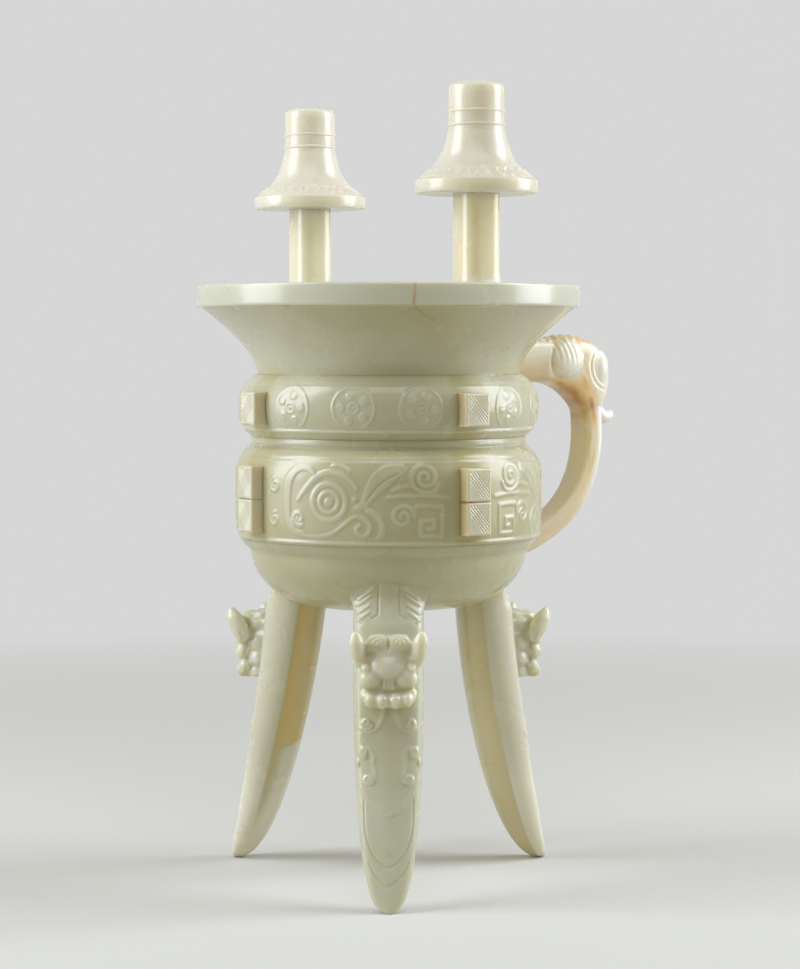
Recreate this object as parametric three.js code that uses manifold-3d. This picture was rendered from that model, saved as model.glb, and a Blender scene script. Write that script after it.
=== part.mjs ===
// A three-legged jade wine vessel of the archaic jia form: a flared bowl on three blade-shaped legs,
// two capped posts on the rim, a beast-headed handle and flanges on the two carved bands.
// Millimetres, +Z up. The handle lies along +X, the posts along +Y and -Y.

import * as THREE from 'three';
import { mergeVertices } from 'three/addons/utils/BufferGeometryUtils.js';
import Module from 'manifold-3d';

const wasm = await Module();
wasm.setup();

// Heights, stacked from the floor up
const legHeight = 87.5; // floor to the underside of the bowl
const baseHeight = 18.5; // round bottom of the bowl
const lowerBandHeight = 33.4;
const grooveHeight = 2.4; // between the two bands
const upperBandHeight = 19.8;
const neckHeight = 21.1; // waist to the underside of the lip
const lipHeight = 6.9;
const postHeight = 26.6; // lip to the underside of a cap
const capHeight = 33.8;

// Bowl, outside radii and the way its curves turn
const rimRadius = 61;
const neckRadius = 42.1;
const upperBandRadius = 47.9;
const grooveRadius = 43.8;
const lowerBandRadius = 48.9;
const baseRadius = 44.3;
const baseFlat = 20; // flat middle of the underside
const baseTurn = 38; // where the underside starts to turn up
const baseShoulder = 6; // height of that turn below the lower band
const bandShoulder = 10; // height over which a band's edge rounds off
const bandRound = 3; // how soon that rounding turns
const flareRise = 7.8; // how far the neck stays upright before it flares

// Bowl, inside
const wall = 6; // at the neck
const floorThickness = 9;
const lipWidth = 7;
const lipStep = 1.4; // overhang of the lip past the flare
const boreFillet = 14; // between the bore and the floor

// Leg sections at the bowl, at two curve handles and at the toe
const legTop = { height: legHeight, outer: 41, inner: 23.8, half: 11.1 };
const legKnee = { height: 0.55 * legHeight, outer: 44.1, inner: 29.4, half: 11.4 };
const legShin = { height: 0.045 * legHeight, outer: 56, inner: 40.8, half: 10.5 };
const legToe = { height: 0, outer: 59.9, inner: 56.3, half: 2.1 };
const legFlankTop = 0.7; // side face as a share of the section's depth, at the bowl and at the toe
const legFlankToe = 0.54;
const legCrest = 1.6; // low ridge along the middle of the outer face
const legTenonRadius = 4.5;

// Beast masks on the legs
const maskDrop = 14.9; // middle of a mask below the bowl
const maskWidth = 23;
const maskTall = 22.8;
const maskDepth = 11; // how far its muzzle stands out from the leg
const maskRound = 2.2;

// Posts and caps
const postCentre = 52.8; // from the vessel's axis
const postSide = 12.2;
const postCorner = 3.8;
const pegSide = 5; // square peg at each end of a post
const pegDepth = 4.5; // into the bowl
const socketDepth = 12; // into the cap
const brimRadius = 18.6;
const brimHeight = 4;
const crownRadius = 8.2;
const crownHeight = 13; // upright top of a cap
const crownDome = 1.2;
const capRibProud = 0.5;
const capRibHeights = [21.5, 25.7]; // above the cap's underside

// Handle: arm, beast head and strap
const armTopRise = 11.7; // above the waist of the neck
const armDrop = 3.2; // below the waist
const armEnd = 57; // where the arm's underside starts to bend down
const headNose = 6.2; // front of the head past the middle of the strap
const headWidth = 14.5;
const headRound = 2.6;
const mouthDrop = 14.3; // mouth below the waist
const strapCentre = 76; // radius of the strap's upright run
const strapWidth = 11.4;
const strapThickness = 7.2;
const strapRound = 1.6;
const strapBow = 2.4; // its curve's upper handle, out from that run and down from the mouth
const strapBowDrop = 21;
const strapTurn = 5.6; // its curve's lower handle, in from that run and up from the foot
const strapTurnRise = 7.5;
const strapFootDrop = 2.7; // middle of its lower end below the lower band
const hornLength = 14;
const hornTall = 13.4;
const hornProud = 3.2; // beyond the side of the head
const curlProud = 4.6; // tip of the curled snout past the front of the head
const curlRadius = 1.9;
const curlDrop = 1.5; // middle of the curl's end below the mouth

// Flange tiles on the bands
const flangeTurn = 1.8; // degrees the carved bands sit round from the legs
const flangeWidth = 8.7;
const flangeProud = 3.7;
const flangeSeat = 1.6; // let into the wall
const flangeChamfer = 0.6;
const upperTileHeight = 10;
const lowerTileHeight = 9.7;
const tileGap = 0.6;
const upperTileDrop = 1; // below the middle of the upper band
const lowerTileRise = 0.3; // above the middle of the lower band

// Joints and facets
const clearance = 0.3;
const bowlSides = 48;
const capSides = 24;
const curveSteps = 6;
const legSteps = 14;
const overlap = 1; // how far joined shapes run into each other

// Levels that follow from the heights
const beadZ = legHeight + baseHeight;
const lowerBandTopZ = beadZ + lowerBandHeight;
const grooveTopZ = lowerBandTopZ + grooveHeight;
const neckZ = grooveTopZ + upperBandHeight;
const lipZ = neckZ + neckHeight;
const rimZ = lipZ + lipHeight;
const capZ = rimZ + postHeight;
const floorZ = legHeight + floorThickness;
const boreRadius = neckRadius - wall;
const maskHeight = legHeight - maskDrop;
const headFront = strapCentre + headNose;
const handleReach = headFront + curlProud;
const axisX = (rimRadius - handleReach) / 2; // centres the vessel's box on the origin

const legAngles = { handle: 0, left: 2 * Math.PI / 3, right: -2 * Math.PI / 3 };
const postAngles = { left: Math.PI / 2, right: -Math.PI / 2 };
const flangeStart = flangeTurn * Math.PI / 180;
const flangeAngles = { left: flangeStart + Math.PI / 2, front: flangeStart + Math.PI,
  right: flangeStart - Math.PI / 2 };

const paleJade = { color: 0xcfd0b4, roughness: 0.32, metalness: 0 };
const creamJade = { color: 0xd8d2b4, roughness: 0.32, metalness: 0 };
const russetJade = { color: 0xcdae7e, roughness: 0.32, metalness: 0 };

// One closed solid from a geometry: shared vertices merged and collapsed triangles left out
function solid(geometry) {
  const bare = new THREE.BufferGeometry();
  bare.setAttribute('position', geometry.getAttribute('position').clone());
  bare.setIndex(geometry.index ? geometry.index.clone() : null);
  const merged = mergeVertices(bare, 1e-4);
  const corners = merged.index.array;
  const triangles = [];
  for (let i = 0; i < corners.length; i += 3) {
    const [a, b, c] = corners.slice(i, i + 3);
    if (a !== b && b !== c && c !== a) triangles.push(a, b, c);
  }
  return new wasm.Manifold(new wasm.Mesh({
    numProp: 3,
    vertProperties: Float32Array.from(merged.getAttribute('position').array),
    triVerts: Uint32Array.from(triangles),
  }));
}

function geometryOf(body) {
  const mesh = body.getMesh();
  const geometry = new THREE.BufferGeometry();
  geometry.setAttribute('position', new THREE.BufferAttribute(mesh.vertProperties, 3));
  geometry.setIndex(new THREE.BufferAttribute(mesh.triVerts, 1));
  geometry.computeVertexNormals();
  return geometry;
}

// A turned solid from a profile of radius and height that starts and ends on the axis
function turned(points, sides) {
  return solid(new THREE.LatheGeometry(points, sides).rotateX(Math.PI / 2));
}

// A closed skin over rings of points, each ring going round its direction of travel
function lofted(rings) {
  const size = rings[0].length;
  const points = rings.flat();
  const index = [];
  for (let i = 0; i + 1 < rings.length; i += 1) {
    for (let j = 0; j < size; j += 1) {
      const [a, b] = [i * size + j, i * size + (j + 1) % size];
      index.push(a, b, b + size, a, b + size, a + size);
    }
  }
  const last = (rings.length - 1) * size;
  for (let j = 1; j + 1 < size; j += 1) {
    index.push(0, j + 1, j, last, last + j, last + j + 1);
  }
  const geometry = new THREE.BufferGeometry().setFromPoints(points);
  geometry.setIndex(index);
  return solid(geometry);
}

// A box between two corners
function block(low, high) {
  const [from, to] = [new THREE.Vector3(...low), new THREE.Vector3(...high)];
  const size = to.clone().sub(from);
  const middle = from.add(to).multiplyScalar(0.5);
  return solid(new THREE.BoxGeometry(size.x, size.y, size.z).translate(middle.x, middle.y, middle.z));
}

// A block with chamfered edges that runs out along +X from the origin, centred across it
function chamfered(deep, wide, tall, chamfer) {
  const [halfWide, halfTall] = [wide / 2 - chamfer, tall / 2 - chamfer];
  const section = new THREE.Shape();
  section.moveTo(-halfWide, -halfTall);
  section.lineTo(halfWide, -halfTall);
  section.lineTo(halfWide, halfTall);
  section.lineTo(-halfWide, halfTall);
  const geometry = new THREE.ExtrudeGeometry(section, {
    depth: deep - 2 * chamfer, bevelSegments: 1, bevelThickness: chamfer, bevelSize: chamfer,
  });
  return solid(geometry.translate(0, 0, chamfer).rotateX(Math.PI / 2).rotateZ(Math.PI / 2));
}

function egg(centre, radii) {
  const geometry = new THREE.SphereGeometry(1, 10, 6).rotateX(Math.PI / 2);
  return solid(geometry.scale(...radii).translate(...centre));
}

function joined(bodies) {
  return bodies.reduce((sum, body) => sum.add(body));
}

function turnedTo(body, angle) {
  return body.rotate([0, 0, THREE.MathUtils.radToDeg(angle)]);
}

// Height at which a profile's points pass a radius
function heightAt(points, radius) {
  for (let i = 0; i + 1 < points.length; i += 1) {
    const [a, b] = [points[i], points[i + 1]];
    if ((a.x - radius) * (b.x - radius) <= 0 && a.x !== b.x) {
      return THREE.MathUtils.mapLinear(radius, a.x, b.x, a.y, b.y);
    }
  }
  throw new Error(`no point of the profile lies at radius ${radius}`);
}

// A band rounds out from its lower edge to its full radius and back to its upper edge
function swell(line, fromZ, bandRadius, toRadius, toZ) {
  const shoulder = Math.min(bandShoulder, (toZ - fromZ) / 2 - clearance);
  const round = Math.min(bandRound, shoulder / 2);
  line.quadraticCurveTo(bandRadius, fromZ + round, bandRadius, fromZ + shoulder);
  line.lineTo(bandRadius, toZ - shoulder);
  line.quadraticCurveTo(bandRadius, toZ - round, toRadius, toZ);
}

// Bowl, outside, from the axis underneath to the top of the lip; grow makes room around it
function outerPoints(grow) {
  const line = new THREE.Path();
  const [base, groove, neck] = [baseRadius + grow, grooveRadius + grow, neckRadius + grow];
  line.moveTo(0, legHeight - grow);
  line.lineTo(baseFlat, legHeight - grow);
  line.bezierCurveTo(baseTurn + grow, legHeight - grow, base, beadZ - baseShoulder, base, beadZ);
  swell(line, beadZ, lowerBandRadius + grow, groove, lowerBandTopZ);
  line.lineTo(groove, grooveTopZ);
  swell(line, grooveTopZ, upperBandRadius + grow, neck, neckZ);
  line.quadraticCurveTo(neck, neckZ + flareRise, rimRadius - lipStep + grow, lipZ - grow);
  line.lineTo(rimRadius + grow, lipZ - grow);
  line.lineTo(rimRadius + grow, rimZ + grow);
  return line.getPoints(curveSteps);
}

// Bowl, inside, from the lip down the bore to the axis on its floor
function innerPoints(grow) {
  const line = new THREE.Path();
  const bore = boreRadius - grow;
  line.moveTo(rimRadius - lipWidth - grow, rimZ + grow);
  line.quadraticCurveTo(bore, neckZ + flareRise, bore, neckZ);
  line.lineTo(bore, floorZ + boreFillet);
  line.quadraticCurveTo(bore, floorZ + grow, bore - boreFillet, floorZ + grow);
  line.lineTo(0, floorZ + grow);
  return line.getPoints(curveSteps);
}

// The room that the bowl takes up, filled
function bowlRoom() {
  return turned([...outerPoints(clearance), new THREE.Vector2(0, rimZ + clearance)], bowlSides);
}

// Everything under the inside of the mouth
function underMouth() {
  const outside = rimRadius + lipWidth;
  const skirt = [[0, legHeight], [outside, legHeight], [outside, rimZ + clearance]];
  const points = [...skirt.map((point) => new THREE.Vector2(...point)), ...innerPoints(clearance)];
  return turned(points, bowlSides);
}

// Leg, radial depth along +X; grow makes room around it
const legLine = new THREE.CubicBezierCurve3(...[legToe, legShin, legKnee, legTop].map(
  (section) => new THREE.Vector3(section.outer, section.inner, section.height)));
const legBreadth = new THREE.CubicBezierCurve(...[legToe, legShin, legKnee, legTop].map(
  (section) => new THREE.Vector2(section.half, section.height)));

function legRing(share, rise, grow) {
  const at = legLine.getPoint(share);
  const half = legBreadth.getPoint(share).x;
  const crest = legCrest * half / legTop.half;
  const [outer, inner, side] = [at.x + grow, at.y - grow, half + grow];
  const flankShare = legFlankToe + (legFlankTop - legFlankToe) * share;
  const flank = outer - (at.x - at.y) * flankShare - 2 * grow;
  const corners = [[outer + crest, 0], [outer, side], [flank, side],
    [inner, 0], [flank, -side], [outer, -side]];
  return corners.map(([x, y]) => new THREE.Vector3(x, y, at.z + rise));
}

function legBlank(grow) {
  const rings = [];
  for (let i = 0; i <= legSteps; i += 1) rings.push(legRing(i / legSteps, 0, grow));
  rings.push(legRing(1, baseHeight - bandRound, grow)); // runs on into the bowl
  return lofted(rings);
}

// Share along the leg at which it passes a height
function legShareAt(height) {
  let [low, high] = [0, 1];
  for (let i = 0; i < 40; i += 1) {
    const middle = (low + high) / 2;
    if (legLine.getPoint(middle).z < height) low = middle;
    else high = middle;
  }
  return low;
}

const legCentre = (legTop.outer + legTop.inner) / 2;
const legTenonTop = heightAt(outerPoints(0).slice(1), legCentre) + floorThickness / 2;

function legTenon(grow) {
  const height = legTenonTop + grow - legHeight + overlap;
  const peg = new THREE.CylinderGeometry(legTenonRadius + grow, legTenonRadius + grow, height, 12);
  return solid(peg.rotateX(Math.PI / 2).translate(legCentre, 0, legTenonTop + grow - height / 2));
}

function legBody() {
  return legBlank(0).subtract(bowlRoom()).add(legTenon(0));
}

// Mask: ears, muzzle, brows, cheeks and lips on a block, cut to sit on the leg
function maskBody() {
  const face = legLine.getPoint(legShareAt(maskHeight)).x + legCrest;
  const [across, up, out] = [maskWidth / 2, maskTall / 2, maskDepth];
  const shape = (x, y, z, rx, ry, rz) => egg(
    [face + x * out, y * across, maskHeight + z * up], [rx * out, ry * across, rz * up]);
  const head = chamfered(1.24 * out, 1.5 * across, 1.9 * up, maskRound);
  const pieces = [head.translate([face - 0.5 * out, 0, maskHeight - 0.07 * up])];
  pieces.push(shape(0.72, 0, 0.36, 0.34, 0.44, 0.36)); // muzzle
  pieces.push(shape(0.66, 0, -0.66, 0.26, 0.68, 0.24)); // lips
  for (const side of [-1, 1]) {
    pieces.push(shape(0.56, side * 0.83, 0.56, 0.3, 0.17, 0.44)); // ear
    pieces.push(shape(0.64, side * 0.36, 0.74, 0.18, 0.3, 0.18)); // brow
    pieces.push(shape(0.68, side * 0.5, -0.1, 0.24, 0.3, 0.28)); // cheek
  }
  return joined(pieces).subtract(legBlank(clearance));
}

// Post: a rounded square shaft on the inside of the mouth, with a square peg at each end
function roundedSquare(side, corner) {
  const [half, shape] = [side / 2 - corner, new THREE.Shape()];
  for (let i = 0; i < 4; i += 1) {
    const [sx, sy] = [i === 0 || i === 3 ? 1 : -1, i < 2 ? 1 : -1];
    shape.absarc(sx * half, sy * half, corner, i * Math.PI / 2, (i + 1) * Math.PI / 2);
  }
  return shape;
}

const postSeatZ = heightAt(innerPoints(0), postCentre);

function postPeg(grow) {
  const [half, low, high] = [pegSide / 2 + grow, postSeatZ - pegDepth - grow, capZ + socketDepth + grow];
  return block([postCentre - half, -half, low], [postCentre + half, half, high]);
}

function postBody() {
  const shaft = new THREE.ExtrudeGeometry(roundedSquare(postSide, postCorner),
    { depth: capZ - clearance - neckZ, bevelEnabled: false, curveSegments: 3 });
  shaft.translate(postCentre, 0, neckZ);
  return solid(shaft).subtract(underMouth()).add(postPeg(0));
}

// Cap: a round bell with a flat brim, two fine ribs and a low domed top
function capBody() {
  const topZ = capZ + capHeight;
  const line = new THREE.Path();
  line.moveTo(0, capZ);
  line.lineTo(brimRadius, capZ);
  line.lineTo(brimRadius, capZ + brimHeight);
  line.quadraticCurveTo(crownRadius, capZ + brimHeight + capHeight / 5, crownRadius, topZ - crownHeight);
  for (const rib of capRibHeights) {
    line.lineTo(crownRadius, capZ + rib - capRibProud);
    line.lineTo(crownRadius + capRibProud, capZ + rib);
    line.lineTo(crownRadius, capZ + rib + capRibProud);
  }
  line.lineTo(crownRadius, topZ - crownDome);
  line.quadraticCurveTo(crownRadius - crownDome, topZ, 0, topZ);
  const bell = turned(line.getPoints(curveSteps), capSides);
  return bell.translate([postCentre, 0, 0]).subtract(postPeg(clearance));
}

// Handle: the arm and the beast's head are cut from one side outline
const mouthZ = neckZ - mouthDrop;
const strapFootZ = beadZ - strapFootDrop;

function armTenon(grow) {
  const half = headWidth / 4 + grow;
  return block([neckRadius - wall / 2 - grow, -half, neckZ - grow],
    [neckRadius + wall, half, neckZ + flareRise + grow]);
}

function headOutline() {
  const [strapIn, strapOut] = [strapCentre - strapThickness / 2, strapCentre + strapThickness / 2];
  const [low, top] = [neckZ - armDrop, neckZ + armTopRise];
  const outline = new THREE.Shape();
  outline.moveTo(boreRadius, low);
  outline.lineTo(armEnd, low);
  outline.quadraticCurveTo(strapIn - headRound, low, strapIn, mouthZ);
  outline.lineTo(strapOut + headRound / 2, mouthZ);
  outline.bezierCurveTo(
    headFront + headRound / 2, low - armDrop,
    headFront + headRound, neckZ + armTopRise / 2,
    strapCentre - headRound / 2, top - headRound / 2);
  outline.quadraticCurveTo(strapIn, top, strapIn - 2 * headRound, top);
  outline.lineTo(boreRadius, top);
  return outline;
}

function headBody() {
  const outline = new THREE.ExtrudeGeometry(headOutline(), {
    depth: headWidth - 2 * headRound, curveSegments: curveSteps, bevelSegments: 2,
    bevelThickness: headRound, bevelSize: headRound, bevelOffset: -headRound,
  });
  outline.translate(0, 0, headRound - headWidth / 2).rotateX(Math.PI / 2);
  const pieces = [solid(outline), snoutCurl()];
  for (const side of [-1, 1]) {
    const middle = [armEnd + hornLength / 2, side * headWidth / 2, neckZ + armTopRise - hornTall / 2];
    pieces.push(egg(middle, [hornLength / 2, hornProud, hornTall / 2]));
  }
  return joined(pieces).subtract(bowlRoom()).add(armTenon(0)).subtract(strapPeg(clearance));
}

// The snout ends in a small curl that stands out over the strap
function snoutCurl() {
  const tip = [handleReach - curlRadius, 0, mouthZ - curlDrop];
  const curve = new THREE.QuadraticBezierCurve3(
    new THREE.Vector3(strapCentre + strapThickness / 2, 0, mouthZ + 2 * curlRadius),
    new THREE.Vector3(headFront, 0, mouthZ + curlRadius / 2),
    new THREE.Vector3(...tip));
  const rings = [];
  for (let i = 0; i <= curveSteps; i += 1) {
    rings.push(tubeRing(curve, i / curveSteps, curlRadius, curlRadius));
  }
  return lofted(rings).add(egg(tip, [curlRadius, curlRadius, curlRadius]));
}

// A chamfered ring square to a curve that lies in the XZ plane
function tubeRing(curve, share, halfWidth, halfThickness) {
  const along = curve.getTangent(share);
  const side = new THREE.Vector3(0, 1, 0);
  const out = along.clone().cross(side);
  const [cutWide, cutThick] = [Math.min(strapRound, halfWidth / 2), Math.min(strapRound, halfThickness / 2)];
  const ring = [];
  for (const [sw, st] of [[1, 1], [-1, 1], [-1, -1], [1, -1]]) {
    const corners = [[halfWidth, halfThickness - cutThick], [halfWidth - cutWide, halfThickness]];
    if (sw * st < 0) corners.reverse();
    for (const [w, t] of corners) {
      ring.push(curve.getPoint(share).addScaledVector(side, sw * w).addScaledVector(out, st * t));
    }
  }
  return ring;
}

function strapCurve() {
  const [top, foot] = [mouthZ + overlap, strapFootZ - overlap];
  return new THREE.CubicBezierCurve3(
    new THREE.Vector3(strapCentre, 0, top),
    new THREE.Vector3(strapCentre + strapBow, 0, top - strapBowDrop),
    new THREE.Vector3(strapCentre - strapTurn, 0, foot + strapTurnRise),
    new THREE.Vector3(baseRadius - wall, 0, foot));
}

// Peg from the strap up into the beast's mouth
function strapPeg(grow) {
  const [halfX, halfY] = [strapThickness / 4 + grow, strapWidth / 4 + grow];
  return block([strapCentre - halfX, -halfY, mouthZ - 2 * clearance - overlap],
    [strapCentre + halfX, halfY, mouthZ + pegDepth + grow]);
}

function strapTenon(grow) {
  const [half, tall] = [strapWidth / 4 + grow, strapThickness / 3 + grow];
  return block([baseRadius - wall / 2 - grow, -half, strapFootZ - tall],
    [baseRadius + wall / 2, half, strapFootZ + tall]);
}

function strapBody() {
  const rings = [];
  const curve = strapCurve();
  for (let i = 0; i <= legSteps; i += 1) {
    rings.push(tubeRing(curve, i / legSteps, strapWidth / 2, strapThickness / 2));
  }
  const strap = lofted(rings).trimByPlane([0, 0, -1], clearance - mouthZ); // flat under the mouth
  return strap.subtract(bowlRoom()).add(strapTenon(0)).add(strapPeg(0));
}

// Flange tile: let into the wall of a band, its outer edges chamfered
const tiles = {
  upper_flange: { band: upperBandRadius, tall: upperTileHeight,
    middle: (grooveTopZ + neckZ) / 2 - upperTileDrop },
  lower_flange_top: { band: lowerBandRadius, tall: lowerTileHeight,
    middle: (beadZ + lowerBandTopZ + lowerTileHeight + tileGap) / 2 + lowerTileRise },
  lower_flange_foot: { band: lowerBandRadius, tall: lowerTileHeight,
    middle: (beadZ + lowerBandTopZ - lowerTileHeight - tileGap) / 2 + lowerTileRise },
};

function tileBody({ band, tall, middle }) {
  const tile = chamfered(flangeSeat + flangeProud, flangeWidth, tall, flangeChamfer);
  return tile.translate([band - flangeSeat, 0, middle]);
}

function tilePocket({ band, tall, middle }) {
  const [halfWide, halfTall] = [flangeWidth / 2 + clearance, tall / 2 + clearance];
  return block([band - flangeSeat - clearance, -halfWide, middle - halfTall],
    [band + flangeProud, halfWide, middle + halfTall]);
}

// Bowl: turned, then cut for every piece that is let into it
function bowlBody() {
  let bowl = turned([...outerPoints(0), ...innerPoints(0)], bowlSides);
  const cuts = [armTenon(clearance), strapTenon(clearance)];
  for (const angle of Object.values(legAngles)) cuts.push(turnedTo(legTenon(clearance), angle));
  for (const angle of Object.values(postAngles)) cuts.push(turnedTo(postPeg(clearance), angle));
  for (const angle of Object.values(flangeAngles)) {
    for (const tile of Object.values(tiles)) cuts.push(turnedTo(tilePocket(tile), angle));
  }
  for (const cut of cuts) bowl = bowl.subtract(cut);
  return bowl;
}

const vessel = new THREE.Group();
vessel.position.x = axisX;

function place(name, body, finish, angle = 0) {
  const mesh = new THREE.Mesh(geometryOf(body), new THREE.MeshStandardMaterial(finish));
  mesh.name = name;
  mesh.rotation.z = angle;
  vessel.add(mesh);
}

place('bowl', bowlBody(), paleJade);
for (const [side, angle] of Object.entries(legAngles)) {
  place(`${side}_leg`, legBody(), paleJade, angle);
  place(`${side}_leg_mask`, maskBody(), paleJade, angle);
}
for (const [side, angle] of Object.entries(postAngles)) {
  place(`${side}_post`, postBody(), creamJade, angle);
  place(`${side}_post_cap`, capBody(), creamJade, angle);
}
place('handle_head', headBody(), russetJade);
place('handle_strap', strapBody(), russetJade);
for (const [side, angle] of Object.entries(flangeAngles)) {
  for (const [name, tile] of Object.entries(tiles)) {
    place(`${side}_${name}`, tileBody(tile), creamJade, angle);
  }
}

const root = new THREE.Group();
root.add(vessel);

export default root;
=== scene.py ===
import math

import bmesh
import bpy
import numpy as np
from mathutils import Matrix, Vector


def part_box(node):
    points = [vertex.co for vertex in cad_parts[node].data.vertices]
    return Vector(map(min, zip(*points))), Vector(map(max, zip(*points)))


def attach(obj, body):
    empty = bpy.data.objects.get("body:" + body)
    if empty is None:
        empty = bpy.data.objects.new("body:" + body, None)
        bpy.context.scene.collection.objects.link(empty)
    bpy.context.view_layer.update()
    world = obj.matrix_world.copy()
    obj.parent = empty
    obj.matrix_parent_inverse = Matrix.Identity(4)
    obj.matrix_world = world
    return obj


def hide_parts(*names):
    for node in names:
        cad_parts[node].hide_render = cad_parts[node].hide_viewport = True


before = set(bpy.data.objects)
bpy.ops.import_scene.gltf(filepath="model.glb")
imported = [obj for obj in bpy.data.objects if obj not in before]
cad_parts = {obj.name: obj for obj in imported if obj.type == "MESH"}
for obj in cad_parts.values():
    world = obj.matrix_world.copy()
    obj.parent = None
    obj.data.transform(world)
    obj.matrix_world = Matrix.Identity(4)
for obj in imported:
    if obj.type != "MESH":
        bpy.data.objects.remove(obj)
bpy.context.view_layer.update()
scene = bpy.context.scene
mm = 0.001  # sizes are in millimetres where metres are not named
bowlLow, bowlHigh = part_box("bowl")
axisX = (bowlLow.x + bowlHigh.x) / 2 / mm  # upright axis of the vessel
print("frame loaded: %d solids, axis at x = %.2f mm" % (len(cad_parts), axisX))

# the photograph's view; clip in metres
photoView = {"azimuth": -30, "distance": 831.8, "eyeHeight": 171.6, "tiltDown": 3.13, "mmPerPixel": 0.32,
             "width": 800, "axisPixel": 388.6, "sensor": 36, "clip": (0.05, 20)}


def addCamera(view):
    turn = math.radians(view["azimuth"])
    data = bpy.data.cameras.new("photoCamera")
    data.sensor_fit = "HORIZONTAL"
    data.sensor_width = view["sensor"]
    data.lens = view["sensor"] * view["distance"] / view["mmPerPixel"] / view["width"]
    data.shift_x = (view["width"] / 2 - view["axisPixel"]) / view["width"]
    data.clip_start, data.clip_end = view["clip"]
    camera = bpy.data.objects.new("photoCamera", data)
    camera.location = Vector((axisX + math.sin(turn) * view["distance"],
                              -math.cos(turn) * view["distance"], view["eyeHeight"])) * mm
    camera.rotation_euler = (math.radians(90 - view["tiltDown"]), 0, turn)
    scene.collection.objects.link(camera)
    scene.camera = camera


addCamera(photoView)

# node helpers: a node with its settings and inputs in one line
def addNode(tree, kind, inputs=None, **settings):
    node = tree.nodes.new(kind)
    for name, value in settings.items():
        setattr(node, name, value)
    for key, value in (inputs or {}).items():
        if isinstance(value, bpy.types.NodeSocket):
            tree.links.new(value, node.inputs[key])
        else:
            node.inputs[key].default_value = value
    return node


def mixColor(tree, factor, first, second):
    return addNode(tree, "ShaderNodeMix", {0: factor, 6: first, 7: second}, data_type="RGBA").outputs[2]


def mapRange(tree, value, low, high, toLow=0.0, toHigh=1.0):
    node = addNode(tree, "ShaderNodeMapRange", {0: value, 1: low, 2: high, 3: toLow, 4: toHigh})
    return node.outputs[0]


def sums(tree, operation, first, second):
    return addNode(tree, "ShaderNodeMath", {0: first, 1: second}, operation=operation).outputs[0]


def vectorMath(tree, operation, inputs, output=0):
    return addNode(tree, "ShaderNodeVectorMath", inputs, operation=operation).outputs[output]


def srgb(red, green, blue):
    toLinear = lambda c: c / 12.92 if c <= 0.04045 else ((c + 0.055) / 1.055) ** 2.4
    return (toLinear(red / 255), toLinear(green / 255), toLinear(blue / 255), 1.0)


# a natural fissure that runs down the lip and into the flare
fissure = [(axisX + x, y, z) for x, y, z in [
    (-23.4, -56.4, 189.8), (-23.8, -56.2, 182.8), (-22.6, -55.0, 182.2),
    (-21.2, -54.0, 181.4), (-18.6, -53.0, 180.2), (-14.7, -52.1, 178.4)]]


def spanDistance(tree, place, start, end):
    start, span = Vector(start) * mm, (Vector(end) - Vector(start)) * mm
    away = vectorMath(tree, "SUBTRACT", {0: place, 1: start})
    along = vectorMath(tree, "DOT_PRODUCT", {0: away, 1: span}, "Value")
    foot = vectorMath(tree, "SCALE", {0: span, "Scale": mapRange(tree, along, 0.0, span.length_squared)})
    return vectorMath(tree, "LENGTH", {0: vectorMath(tree, "SUBTRACT", {0: away, 1: foot})}, "Value")


# finishes of the stone: scatter depth in metres, its share of the light, then a tone for each name
toneNames = ("Clear", "CloudAndPaintedLight", "PaintedShade", "Stain", "Rust", "MilkAndPaintedLight")
finishes = {
    "pale_jade": (0.003, 0.75, (196, 195, 160), (216, 217, 200), (182, 170, 100), (226, 198, 118),
                  (204, 146, 76), (238, 238, 230)),
    "leg_jade": (0.003, 0.75, (200, 197, 158), (218, 216, 196), (186, 172, 102), (224, 194, 110),
                 (204, 146, 76), (240, 238, 226)),
    "mask_jade": (0.0045, 0.85, (206, 205, 176), (226, 226, 212), (200, 186, 112), (206, 180, 108),
                  (186, 128, 66), (238, 238, 230)),
    "cream_jade": (0.006, 0.8, (232, 226, 204), (240, 236, 224), (206, 192, 132), (228, 204, 148),
                   (190, 130, 70), (244, 243, 236)),
    "post_jade": (0.006, 0.65, (248, 238, 206), (248, 242, 222), (206, 192, 132), (234, 208, 150),
                  (190, 130, 70), (246, 242, 230)),
    "tile_jade": (0.003, 0.6, (216, 211, 184), (228, 225, 210), (206, 192, 132), (222, 198, 142),
                  (190, 130, 70), (244, 243, 236)),
    "russet_jade": (0.008, 0.6, (236, 229, 206), (240, 236, 226), (210, 176, 118), (240, 204, 142),
                    (192, 126, 62), (248, 246, 240)),
}
stoneNoise = {  # scale, detail, distortion
    "broad": (24.0, 3.0, 0.0), "patch": (85.0, 3.0, 0.3), "thread": (46.0, 6.0, 1.6),
    "speck": (1100.0, 2.0, 0.0),
}
polish = {"IOR": 1.6, "Subsurface Radius": (1.0, 0.86, 0.4), "Coat Weight": 0.25, "Coat Roughness": 0.12}
# fine surface grain; distance in metres
grain = {"Strength": 0.05, "Distance": 0.0002}


def addNoise(tree, place, name):
    inputs = dict(zip(("Scale", "Detail", "Distortion"), stoneNoise[name]))
    return addNode(tree, "ShaderNodeTexNoise", {"Vector": place, **inputs}).outputs["Fac"]
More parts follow.
